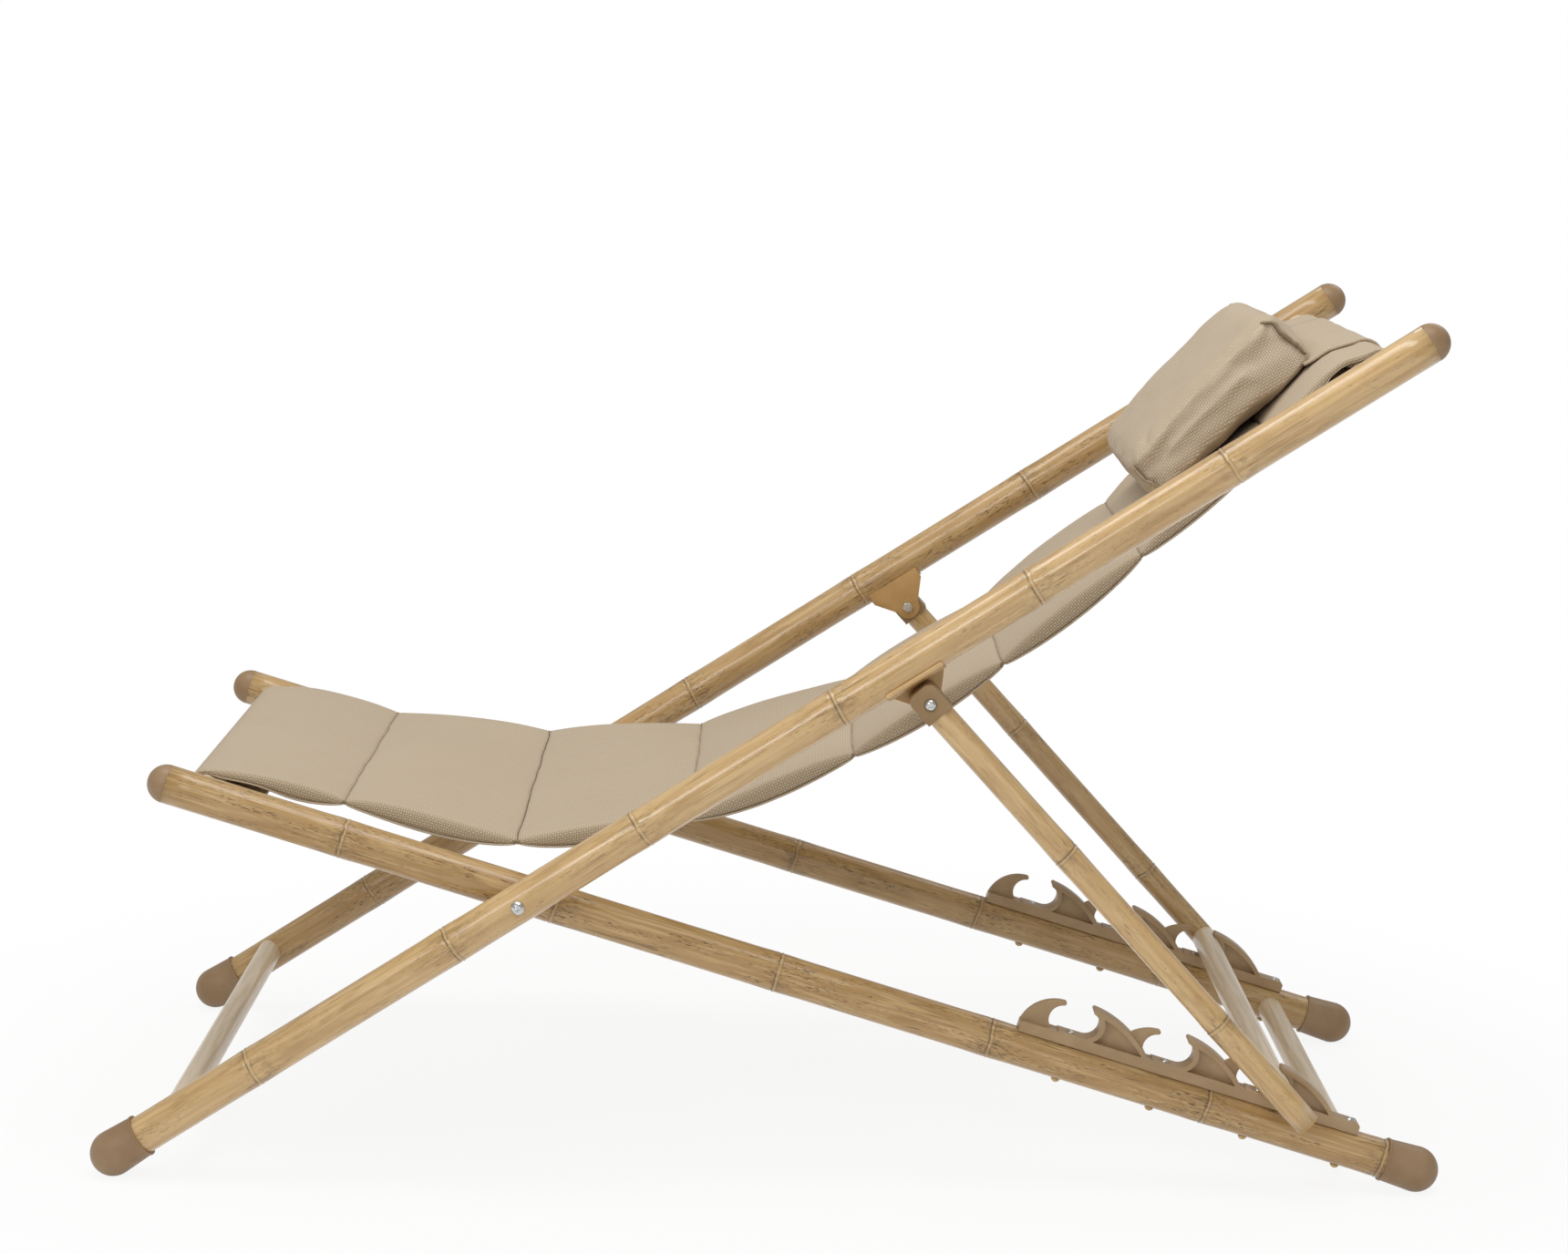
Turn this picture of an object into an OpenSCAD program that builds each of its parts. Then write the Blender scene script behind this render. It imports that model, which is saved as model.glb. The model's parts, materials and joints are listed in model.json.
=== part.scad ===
// Folding deck chair: two crossed tube frames, a prop frame in a three-notch rack, a padded sling and a
// head pillow. The front is -X, the sitter's left is -Y, the floor is z = 0 and the origin is the middle
// of the footprint.

/* [Long frame, floor in front to head] */
// Outer diameter of the long and seat rails
tube_d = 36; // [34:0.5:38]
// Wall of the long and seat rails
tube_wall = 1.5; // [1.2:0.1:2]
// Long rail from the pivot up to its top cap
back_up = 964; // [940:1:1000]
// Long rail from the pivot down to the middle of its foot
back_down = 446.7; // [430:0.1:460]
// Angle of the long rails to the floor
back_angle = 33.4; // [32:0.1:35]
// Front cross tube from the pivot, down the long rail
front_cross_at = 371.5; // [340:0.5:390]
// Front cross tube above the middle of the long rail
front_cross_rise = 4; // [0:0.5:5]
// Top rod that carries the sling, from the pivot up the long rail
top_rod_at = 922; // [900:1:930]
// Top rod below the middle of the long rail
top_rod_drop = 5; // [0:0.5:5]

/* [Seat frame] */
// Seat rail from the pivot forward to its front cap
seat_front = 341.8; // [335:0.1:360]
// Seat rail from the pivot back to the middle of its foot
seat_rear = 875.3; // [860:0.1:890]
// Gap between a side of the sling and the seat rail beside it
side_gap = 5; // [4:0.5:20]
// Gap between a seat rail and the long rail beside it
pivot_gap = 1.4; // [1:0.1:3]
// Front rod that carries the sling, from the pivot
front_rod_at = 310; // [305:0.5:318]
// Rear cross tube of the seat frame from the pivot
rear_cross_at = 804; // [795:0.5:815]
// Rear cross tube below the middle of the seat rail
rear_cross_drop = 2.5; // [0:0.5:5]

/* [Small tubes] */
// Outer diameter of the prop legs, cross tubes and rods
bar_d = 25; // [22:0.5:25.5]
// Wall of the prop legs, cross tubes and rods
bar_wall = 1.5; // [1:0.1:2]

/* [Feet and caps] */
// Radius of the round end of a foot
foot_r = 21.5; // [20.5:0.1:23]
// Radius of a foot at its mouth
foot_mouth_r = 20; // [19.8:0.1:21]
// Mouth of a foot to the middle of its round end
foot_len = 32; // [26:1:40]
// Height of the rim round a foot's mouth
foot_rim = 0.6; // [0.3:0.1:1.5]
// Depth of the flat that a foot stands on
foot_flat = 0.8; // [0.4:0.1:1.5]
// Length of the plug of a cap inside its tube
plug_len = 22; // [10:1:40]

/* [Rack] */
// First notch from the pivot, along the seat rail
notch_first = 525.9; // [515:0.5:530]
// Distance from one notch to the next
notch_pitch = 92.2; // [88:0.2:93]
// Notches in a rack
notch_count = 3; // [3:1:3]
// Width of a rack across the rail
rack_w = 20; // [16:1:24]
// Thickness of the web that the hooks are cut from
rack_web = 5; // [3:0.5:8]
// Thickness of the flange round a rear hook
rack_flange = 4.5; // [2:0.5:6]
// Thickness of the base above the top of the rail
rack_base = 9; // [7:0.5:10]
// Depth of the groove with which a rack sits on its rail
rack_seat = 1.2; // [0.6:0.2:4]
// Clearance of the bar in the mouth of a notch, on each side
mouth_clear = 0.5; // [0.3:0.1:1]
// Clearance of the bar in the pocket of a notch
pocket_clear = 0.4; // [0.3:0.1:1]
// Height of the bar in its pocket, above the middle of the seat rail
bar_rise = 41; // [40.6:0.2:43]
// Bar in its pocket, behind the middle of the mouth
bar_back = 10.1; // [8:0.1:11]
// Base in front of the first notch
rack_lead = 49; // [46:1:55]
// Base behind the last notch
rack_tail = 100; // [97:1:102]
// Radius of the rack screws
screw_r = 2.5; // [2:0.1:3]
// Radius of the heads and nuts of the rack screws
screw_head_r = 4.5; // [4:0.1:5.5]

/* [Prop frame] */
// Hinge of the prop from the pivot, along the long rail
hinge_at = 416.4; // [405:0.2:425]
// Hinge of the prop below the middle of the long rail
hinge_drop = 40.5; // [40:0.5:44]
// Leg behind the middle of the bar
leg_tail = 39; // [25:1:45]
// Width and thickness of a knuckle
knuckle_w = 28; // [27.5:0.5:29]
// Knuckle above the hinge
knuckle_up = 17; // [15:0.5:17]
// Knuckle below the hinge
knuckle_down = 14; // [12:0.5:18]
// Radius of a knuckle's corners
knuckle_corner = 8; // [7.5:0.5:9]
// Thickness of a bracket's ear
ear_t = 3; // [2:0.5:4]
// Thickness of a bracket's saddle
saddle_t = 2; // [1.5:0.1:2.4]
// Length of a bracket along the rail
saddle_len = 60; // [58:1:70]
// Width of an ear where it leaves the rail
ear_w = 58; // [48:1:60]
// Radius of the prop hinge bolts
hinge_bolt_r = 3; // [2.5:0.1:3.5]

/* [Pivot] */
// Radius of the pivot bolts
pivot_bolt_r = 4; // [3.5:0.1:5]
// Radius of the heads and nuts of the pivot bolts
pivot_head_r = 6.5; // [6:0.1:8]
// Radius of the washers between the rails
washer_r = 9; // [8:0.5:12]

/* [Sling] */
// Middle of the chair to a side of the sling
sling_half = 222; // [200:1:240]
// Thickness in the middle of a panel
pad_t = 14; // [8:0.5:16]
// Thickness at a seam and round the rods
seam_t = 4.5; // [3:0.5:6]
// Top of the front rod to the first seam
first_seam = 129; // [120:1:140]
// Distance between seams
seam_pitch = 163; // [159:1:166]
// Deepest sag below a line from rod to rod
sling_sag = 187; // [175:1:190]
// Rise of the sling above that line where it has no sag
sling_lift = 6; // [0:0.5:10]
// Length of the tails of the sleeves round the rods
sleeve_len = 50; // [40:1:60]

/* [Head pillow] */
// Middle of the chair to a side of the pillow
pillow_half = 134; // [120:1:160]
// Front of the pillow from the pivot, up the long rail
pillow_from = 688; // [680:1:700]
// Back of the pillow from the pivot
pillow_to = 890; // [870:1:892]
// Thickness of the pillow at its front
pillow_front_t = 60; // [44:1:66]
// Thickness of the pillow at its back
pillow_back_t = 66; // [44:1:72]
// Thickness of the flap
flap_t = 5; // [3:0.5:6]
// Flap behind the middle of the top rod
flap_reach = 40; // [36:1:50]
// Flap below the middle of the top rod, at its end
flap_hang = 12; // [8:1:20]

/* [Hidden] */
$fn = 64;

fit = 0.05;
soft_gap = 0.3;
tube_r = tube_d / 2;
bar_r = bar_d / 2;
seat_y = sling_half + side_gap + tube_r;
back_y = seat_y + tube_d + pivot_gap;
left = -1;
right = 1;

// All four feet reach the floor, which sets the angle of the seat rails.
pivot_z = back_down * sin(back_angle) + foot_r - foot_flat;
seat_angle = asin(back_down * sin(back_angle) / seat_rear);
front_reach = back_down * cos(back_angle) + foot_r;
rear_reach = seat_rear * cos(seat_angle) + foot_r;
pivot_x = (front_reach - rear_reach) / 2;

// Places in the plane of the rails, as [along, across] on a frame, and turned to [x, z] from the pivot.
function turned(p, a) = [p.x * cos(a) - p.y * sin(a), p.x * sin(a) + p.y * cos(a)];
function from_back(p) = turned(p, back_angle);
function from_seat(p) = turned(p, -seat_angle);

notches = [for (i = [0 : notch_count - 1]) notch_first + i * notch_pitch];
rest_notch = notches[notch_count - 1];
bar_place = [rest_notch + bar_back, bar_rise];
hinge_place = [hinge_at, -hinge_drop];
prop_line = from_seat(bar_place) - from_back(hinge_place);
prop_len = norm(prop_line);
prop_angle = -atan2(prop_line.y, prop_line.x);

module on_back() translate([pivot_x, 0, pivot_z]) rotate([0, -back_angle, 0]) children();
module on_seat() translate([pivot_x, 0, pivot_z]) rotate([0, seat_angle, 0]) children();
module on_prop() {
    at = from_back(hinge_place);
    translate([pivot_x + at.x, 0, pivot_z + at.y]) rotate([0, prop_angle, 0]) children();
}
module rod_x(r, from, to) translate([from, 0, 0]) rotate([0, 90, 0]) cylinder(r = r, h = to - from);
module rod_y(r, from, to) translate([0, from, 0]) rotate([-90, 0, 0]) cylinder(r = r, h = to - from);
module tube_x(r, wall, from, to) difference() {
    rod_x(r, from, to);
    rod_x(r - wall, from - 1, to + 1);
}
// A cross tube from one rail's wall to the other's, its ends cut to the round of the rails.
module cross_tube(half, at, across) difference() {
    translate([at, 0, across]) rod_y(bar_r, -half, half);
    translate([at, 0, across]) rod_y(bar_r - bar_wall, -half - 1, half + 1);
    for (side = [left, right]) translate([0, side * half, 0]) rod_x(tube_r + fit, at - bar_d, at + bar_d);
}

// Feet and caps
foot_overlap = 10;
foot_rim_len = 2;
module foot() rotate([0, 90, 0]) rotate_extrude() {
    bore = tube_r + fit;
    rim_r = foot_mouth_r + foot_rim;
    intersection() {
        circle(r = foot_r);
        square(foot_r + 1);
    }
    polygon([[0, 0], [0, -foot_overlap], [bore, -foot_overlap], [bore, -foot_len], [rim_r, -foot_len],
        [rim_r, foot_rim_len - foot_len], [foot_mouth_r, foot_rim_len - foot_len], [foot_r, 0]]);
}
module floor_cut() difference() {
    children();
    translate([-1000, -1000, -100]) cube([2000, 2000, 100]);
}
module cap() {
    intersection() {
        sphere(r = tube_r);
        rod_x(tube_r + 1, 0, tube_r + 1);
    }
    rod_x(tube_r - tube_wall - fit, -plug_len, 0);
}
module back_foot(side) color("#8a7050") floor_cut()
    on_back() translate([-back_down, side * back_y, 0]) rotate([0, 180, 0]) foot();
module seat_foot(side) color("#8a7050") floor_cut()
    on_seat() translate([seat_rear, side * seat_y, 0]) foot();
module back_cap(side) color("#8a7050") on_back() translate([back_up, side * back_y, 0]) cap();
module seat_cap(side) color("#8a7050")
    on_seat() translate([-seat_front, side * seat_y, 0]) rotate([0, 180, 0]) cap();

// Rails
module back_rail(side) color("#c9a670") on_back() translate([0, side * back_y, 0]) difference() {
    tube_x(tube_r, tube_wall, foot_overlap - back_down, back_up);
    rod_y(pivot_bolt_r + fit, -tube_d, tube_d);
}
module seat_rail(side) color("#c9a670") on_seat() translate([0, side * seat_y, 0]) difference() {
    tube_x(tube_r, tube_wall, -seat_front, seat_rear - foot_overlap);
    rod_y(pivot_bolt_r + fit, -tube_d, tube_d);
    for (at = screw_places) translate([at, 0, -tube_d]) cylinder(r = screw_r + fit, h = 2 * tube_d);
}
module front_cross_tube() color("#c8b9a0") on_back() cross_tube(back_y, -front_cross_at, front_cross_rise);
module top_rod() color("#c8b9a0") on_back() cross_tube(back_y, top_rod_at, -top_rod_drop);
module front_rod() color("#c8b9a0") on_seat() cross_tube(seat_y, -front_rod_at, 0);
module rear_cross_tube() color("#c8b9a0") on_seat() cross_tube(seat_y, rear_cross_at, -rear_cross_drop);

// Pivot of the two frames
head_h = 4.5;
nut_h = 6;
module dome_head(r, h) intersection() {
    cylinder(r = r, h = h);
    translate([0, 0, h - (r * r + h * h) / (2 * h)]) sphere(r = (r * r + h * h) / (2 * h));
}
module socket(r, h) translate([0, 0, h]) cylinder(r = r, h = 10, $fn = 6);
module pivot_bolts() color("silver") on_seat() for (side = [left, right]) {
    inner = seat_y - tube_r - nut_h - 1;
    outer = back_y + tube_r;
    mirror([0, side < 0 ? 1 : 0, 0]) {
        rod_y(pivot_bolt_r, inner, outer);
        translate([0, outer, 0]) rotate([-90, 0, 0]) difference() {
            dome_head(pivot_head_r, head_h);
            socket(pivot_head_r * 0.4, head_h / 2);
        }
    }
}
module pivot_washers() color("dimgray") on_seat() for (side = [left, right])
    translate([0, side * (seat_y + tube_r + pivot_gap / 2), 0]) difference() {
        rod_y(washer_r, fit - pivot_gap / 2, pivot_gap / 2 - fit);
        rod_y(pivot_bolt_r + fit, -pivot_gap, pivot_gap);
    }
module pivot_nuts() color("silver") on_seat() for (side = [left, right])
    mirror([0, side < 0 ? 1 : 0, 0]) difference() {
        translate([0, seat_y - tube_r - nut_h, 0]) rotate([-90, 0, 0])
            cylinder(r = pivot_head_r, h = nut_h, $fn = 6);
        rod_y(pivot_bolt_r + fit, seat_y - tube_d, seat_y);
    }

// Rack: a base on the rail, front hooks cut from the web, and flanged rear hooks that hold the bar
screw_places = [for (n = notches) n, rest_notch + notch_pitch - 1];
base_top = tube_r + rack_base;
mouth = bar_r + mouth_clear;
pocket_r = bar_r + pocket_clear;
front_hook = [-14, 18.8];
front_hook_r = 36.5;
front_pocket = [-11.2, 37.8];
front_pocket_r = 13.5;
rear_hook = [6, -35.7];
rear_hook_r = 93;
tip_r = 1.9;
module tip(circle_at, hook_r, hollow_at, hollow_r, at) {
    top = circle_at.y + sqrt(pow(hook_r, 2) - pow(at - circle_at.x, 2));
    low = hollow_at.y + sqrt(pow(hollow_r, 2) - pow(at - hollow_at.x, 2));
    translate([at, (top + low) / 2]) circle(r = (top - low) / 2);
}
module front_hook_shape() {
    cut = -mouth - tip_r;
    difference() {
        translate(front_hook) circle(r = front_hook_r, $fn = 96);
        translate(front_pocket) circle(r = front_pocket_r);
        translate([cut, -100]) square(200);
        translate([-100, base_top - 100 - 1]) square([200, 100]);
    }
    tip(front_hook, front_hook_r, front_pocket, front_pocket_r, cut);
}
module rear_hook_shape() {
    cut = mouth + tip_r;
    difference() {
        translate(rear_hook) circle(r = rear_hook_r, $fn = 128);
        translate([bar_back, bar_rise]) circle(r = pocket_r);
        translate([cut - 200, bar_rise]) square([200, 100]);
        translate([bar_back - 200, bar_rise - pocket_r]) square([200, 100]);
        translate([-200 - mouth, -100]) square([200, 300]);
        translate([-200, base_top - 200 - 1]) square([400, 200]);
    }
    tip(rear_hook, rear_hook_r, [bar_back, bar_rise], pocket_r, cut);
}
module rear_recess_shape() difference() {
    translate(rear_hook) circle(r = rear_hook_r - rack_flange, $fn = 128);
    translate([bar_back, bar_rise]) circle(r = pocket_r + rack_flange);
    translate([-200 + bar_back, -200]) square([200, 400]);
    translate([-200, base_top - 200]) square([400, 200]);
}
module base_shape() {
    from = notches[0] - rack_lead;
    to = rest_notch + rack_tail;
    round_r = 3;
    low = tube_r - rack_seat;
    translate([from, low]) square([to - from, base_top - round_r - low]);
    translate([from + round_r, low]) square([to - from - 2 * round_r, base_top - low]);
    for (at = [from + round_r, to - round_r]) translate([at, base_top - round_r]) circle(r = round_r);
}
module rack_plate(w) rotate([90, 0, 0]) translate([0, 0, -w / 2]) linear_extrude(w) children();
module rack(side) color("#917050") on_seat() translate([0, side * seat_y, 0]) difference() {
    union() {
        rack_plate(rack_w) difference() {
            union() {
                base_shape();
                for (n = notches) translate([n, 0]) rear_hook_shape();
            }
            for (n = notches) translate([n, 0]) rear_recess_shape();
        }
        rack_plate(rack_web) for (n = notches) translate([n, 0]) {
            front_hook_shape();
            rear_hook_shape();
        }
    }
    rod_x(tube_r + fit, 0, seat_rear);
    for (at = screw_places) translate([at, 0, 0]) cylinder(r = screw_r + fit, h = 2 * tube_d);
    for (n = notches) translate([n, 0, base_top]) cylinder(r = screw_head_r + fit, h = 10);
}
screw_head_h = 2.6;
module rack_screws() color("silver") on_seat() for (side = [left, right]) for (at = screw_places)
    translate([at, side * seat_y, 0]) {
        translate([0, 0, -tube_r - 2]) cylinder(r = screw_r, h = base_top + tube_r + 2);
        translate([0, 0, base_top]) difference() {
            dome_head(screw_head_r, screw_head_h);
            socket(screw_r * 0.7, screw_head_h / 2);
        }
    }
module rack_nuts() color("#8a7050") on_seat() for (side = [left, right]) for (at = screw_places)
    translate([at, side * seat_y, 0]) difference() {
        translate([0, 0, -tube_r]) mirror([0, 0, 1]) dome_head(screw_head_r, screw_head_h + 1.4);
        translate([0, 0, -tube_r - 2]) cylinder(r = screw_r + fit, h = tube_d);
        rod_x(tube_r + fit, -tube_d, tube_d);
    }

// Prop frame
ear_in = knuckle_w / 2 - 0.5 + soft_gap;
module bracket(side) color("#a88550") on_back() mirror([0, side < 0 ? 1 : 0, 0])
    translate([hinge_at, back_y, 0]) difference() {
        union() {
            intersection() {
                rod_x(tube_r + saddle_t, -saddle_len / 2, saddle_len / 2);
                translate([-saddle_len, -ear_in - ear_t, -tube_d]) cube([2 * saddle_len,
                    ear_in + ear_t + 12, tube_d - 12]);
            }
            translate([0, -ear_in, 0]) rotate([90, 0, 0]) linear_extrude(ear_t) {
                ear_r = 12.5;
                polygon([[-ear_w / 2, -8], [-ear_w / 2, -tube_r - 2], [-ear_r, -hinge_drop],
                    [ear_r, -hinge_drop], [ear_w / 2, -tube_r - 2], [ear_w / 2, -8]]);
                translate([0, -hinge_drop]) circle(r = ear_r);
            }
        }
        rod_x(tube_r + fit, -saddle_len, saddle_len);
        translate([0, 0, -hinge_drop]) rod_y(hinge_bolt_r + fit, -tube_d, 0);
    }
knuckle_t = knuckle_w - 1;
leg_top = 10;
module prop_leg(side) color("#c9a670") on_prop() translate([0, side * back_y, 0]) difference() {
    tube_x(bar_r, bar_wall, -leg_top, prop_len + leg_tail);
    rod_y(hinge_bolt_r + fit, -bar_d, bar_d);
}
module prop_bar() color("#c8b9a0") on_prop() difference() {
    translate([prop_len, 0, 0]) rod_y(bar_r, -back_y, back_y);
    translate([prop_len, 0, 0]) rod_y(bar_r - bar_wall, -back_y - 1, back_y + 1);
    for (side = [left, right]) translate([0, side * back_y, 0])
        rod_x(bar_r + fit, prop_len - bar_d, prop_len + bar_d);
}
module knuckle(side) color("#917050") on_prop() translate([0, side * back_y, 0]) difference() {
    rotate([90, 0, 0]) translate([0, 0, -knuckle_t / 2]) linear_extrude(knuckle_t) {
        w = knuckle_w / 2;
        r = knuckle_corner;
        translate([-knuckle_up + r, -w]) square([knuckle_up + knuckle_down - r, knuckle_w]);
        translate([-knuckle_up, -w + r]) square([knuckle_up, knuckle_w - 2 * r]);
        for (across = [-w + r, w - r]) translate([-knuckle_up + r, across]) circle(r = r);
    }
    rod_x(bar_r + fit, -leg_top, knuckle_down + 1);
    rod_y(hinge_bolt_r + fit, -tube_d, tube_d);
    translate([0, side * knuckle_t / 2, 0]) rod_y(hinge_head_r + 0.6, -head_recess, head_recess);
}
module prop_end_plugs() color("#b89a68") on_prop() for (side = [left, right])
    translate([prop_len + leg_tail, side * back_y, 0]) {
        rod_x(bar_r, 0, 1.5);
        rod_x(bar_r - bar_wall - fit, -plug_len / 2, 0);
    }
head_recess = 0.7;
hinge_head_r = 5.6;
hinge_head_h = 3.5;
hinge_nut_h = 4;
module hinge_bolts() color("silver") on_prop() for (side = [left, right]) mirror([0, side < 0 ? 1 : 0, 0]) {
    outer = back_y + knuckle_t / 2 - head_recess;
    rod_y(hinge_bolt_r, back_y - ear_in - ear_t - hinge_nut_h - 1, outer);
    translate([0, outer, 0]) rotate([-90, 0, 0]) difference() {
        dome_head(hinge_head_r, hinge_head_h);
        socket(hinge_bolt_r * 0.7, hinge_head_h / 2);
    }
}
module hinge_nuts() color("silver") on_prop() for (side = [left, right]) mirror([0, side < 0 ? 1 : 0, 0])
    difference() {
        translate([0, back_y - ear_in - ear_t - fit - hinge_nut_h, 0]) rotate([-90, 0, 0])
            cylinder(r = hinge_head_r, h = hinge_nut_h, $fn = 6);
        rod_y(hinge_bolt_r + fit, 0, back_y);
    }

// Sling. Its middle line runs over the front rod, hangs to the top rod and has a sleeve round each.
front_rod_place = from_seat([-front_rod_at, 0]);
top_rod_place = from_back([top_rod_at, -top_rod_drop]);
chord = top_rod_place - front_rod_place;
chord_angle = atan2(chord.y, chord.x);
wrap_r = bar_r + soft_gap + seam_t / 2;
// Share of the chord, and share of the deepest sag there
hang = [[0.101, 0.326], [0.225, 0.754], [0.364, 0.966], [0.501, 0.973], [0.64, 0.796], [0.773, 0.525],
    [0.909, 0.182], [0.967, 0.002]];
function hung(p) = front_rod_place + norm(chord) * p[0] * [cos(chord_angle), sin(chord_angle)]
    + (p[1] * sling_sag - (1 - p[1]) * sling_lift) * [sin(chord_angle), -cos(chord_angle)];
// The sling leaves each rod along a tangent.
function angle_of(d) = atan2(d.y, d.x);
first_knot = hung(hang[0]) - front_rod_place;
last_knot = top_rod_place - hung(hang[len(hang) - 1]);
front_lean = angle_of(first_knot) - asin(wrap_r / norm(first_knot));
top_lean = angle_of(last_knot) + asin(wrap_r / norm(last_knot));
front_top = front_rod_place + wrap_r * [-sin(front_lean), cos(front_lean)];
top_top = top_rod_place + wrap_r * [-sin(top_lean), cos(top_lean)];
knots = concat([front_top], [for (p = hang) hung(p)], [top_top]);
function knot(i) = i < 0 ? 2 * knots[0] - knots[1]
    : i >= len(knots) ? 2 * knots[len(knots) - 1] - knots[len(knots) - 2] : knots[i];
function spline(i, t) = let (a = knot(i - 1), b = knot(i), c = knot(i + 1), d = knot(i + 2))
    0.5 * (2 * b + (c - a) * t + (2 * a - 5 * b + 4 * c - d) * t * t + (3 * b - a - 3 * c + d) * t * t * t);
span_steps = 8;
line = concat([for (i = [0 : len(knots) - 2]) for (k = [0 : span_steps - 1]) spline(i, k / span_steps)],
    [top_top]);
function lengths(p, i = 1, sum = [0]) = i == len(p) ? sum
    : lengths(p, i + 1, concat(sum, [sum[i - 1] + norm(p[i] - p[i - 1])]));
line_at = lengths(line);
line_len = line_at[len(line_at) - 1];
line_x = [for (i = [0 : len(line) - 1]) [line_at[i], line[i].x]];
line_z = [for (i = [0 : len(line) - 1]) [line_at[i], line[i].y]];
function on_line(at) = [lookup(at, line_x), lookup(at, line_z)];
function across_line(at) = let (d = on_line(at + 2) - on_line(at - 2)) [-d.y, d.x] / norm(d);

panel_steps = 8;
last_seam = first_seam + 6 * seam_pitch;
function panel_share(at) = at < first_seam ? at / first_seam
    : at > last_seam ? (at - last_seam) / (line_len - last_seam)
    : (at - first_seam) / seam_pitch - floor((at - first_seam) / seam_pitch);
function pad_at(at) = seam_t + (pad_t - seam_t) * pow(max(0, sin(180 * panel_share(at))), 0.7);
// A ring is [x, z, across x, across z, thickness].
function line_ring(at) = let (p = on_line(at), n = across_line(at)) [p.x, p.y, n.x, n.y, pad_at(at)];
function arc_ring(c, a) = [c.x + wrap_r * cos(a), c.y + wrap_r * sin(a), cos(a), sin(a), seam_t];
function stations(from, to) = let (count = round((to - from) / seam_pitch * panel_steps))
    [for (k = [0 : count]) from + (to - from) * k / count];

// The sleeves go round the rods and come back to the underside of the sling.
sleeve_gap = 1;
function sleeve_turn(pad) = 180 + asin((2 * wrap_r - pad / 2 - seam_t / 2 - sleeve_gap) / sleeve_len);
front_turn = sleeve_turn(pad_at(sleeve_len));
top_turn = sleeve_turn(pad_at(line_len - sleeve_len));
function sleeve_end(ring, way) = let (d = way * [ring[3], -ring[2]])
    [for (k = [1 : 3]) [ring[0] + d.x * sleeve_len * k / 3, ring[1] + d.y * sleeve_len * k / 3,
        ring[2], ring[3], seam_t]];
arc_steps = 16;
front_arc = [for (k = [1 : arc_steps]) arc_ring(front_rod_place, front_lean + 90 + front_turn * k / arc_steps)];
top_arc = [for (k = [1 : arc_steps]) arc_ring(top_rod_place, top_lean + 90 - top_turn * k / arc_steps)];
function backwards(v) = [for (i = [len(v) - 1 : -1 : 0]) v[i]];
front_sleeve = backwards(concat(front_arc, sleeve_end(front_arc[arc_steps - 1], -1)));
top_sleeve = concat(top_arc, sleeve_end(top_arc[arc_steps - 1], 1));

half_places = [1, 0.992, 0.97, 0.9, 0.6, 0];
function bulge(share) = pow(1 - pow(share, 12), 0.5);
function ring_points(ring, half) = [for (k = [0 : 10]) let (s = k < 6 ? half_places[k] : -half_places[10 - k])
        ring_point(ring, half, s, 1),
    for (k = [1 : 9]) let (s = k < 6 ? -half_places[k] : half_places[10 - k]) ring_point(ring, half, s, -1)];
function ring_point(ring, half, s, up) = let (t = up * ring[4] / 2 * bulge(abs(s)))
    [pivot_x + ring[0] + ring[2] * t, s * half, pivot_z + ring[1] + ring[3] * t];
// A closed skin over rings of points, all with the same count.
module skin(rings) {
    n = len(rings[0]);
    m = len(rings);
    points = [for (ring = rings) for (p = ring) p];
    sides = [for (i = [0 : m - 2]) for (j = [0 : n - 1]) let (k = (j + 1) % n)
        each [[i * n + j, i * n + k, (i + 1) * n + k], [i * n + j, (i + 1) * n + k, (i + 1) * n + j]]];
    polyhedron(points, concat(sides, [[for (j = [n - 1 : -1 : 0]) j]],
        [[for (j = [0 : n - 1]) (m - 1) * n + j]]));
}
module sling_part(rings) color("#c2b098")
    skin([for (ring = rings) ring_points(ring, sling_half)]);
bend_from = first_seam + seam_pitch;
bend_to = bend_from + seam_pitch;
module sling_seat() sling_part(concat(front_sleeve,
    [for (at = stations(0, bend_from - soft_gap)) line_ring(at)]));
module sling_bend() sling_part([for (at = stations(bend_from, bend_to - soft_gap)) line_ring(at)]);
module sling_back() sling_part(concat([for (at = stations(bend_to, line_len)) line_ring(at)], top_sleeve));

// Head pillow, on the sling, and its flap over the top rod
function sling_top(at) = let (p = turned(on_line(at) + across_line(at) * pad_at(at) / 2, -back_angle)) p;
sling_tops = [for (at = stations(last_seam - seam_pitch, line_len)) sling_top(at)];
function sling_top_at(s) = lookup(s, [for (p = sling_tops) [p.x, p.y]]);
sling_rise = (sling_top_at(pillow_to) - sling_top_at(pillow_from)) / (pillow_to - pillow_from);
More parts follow.
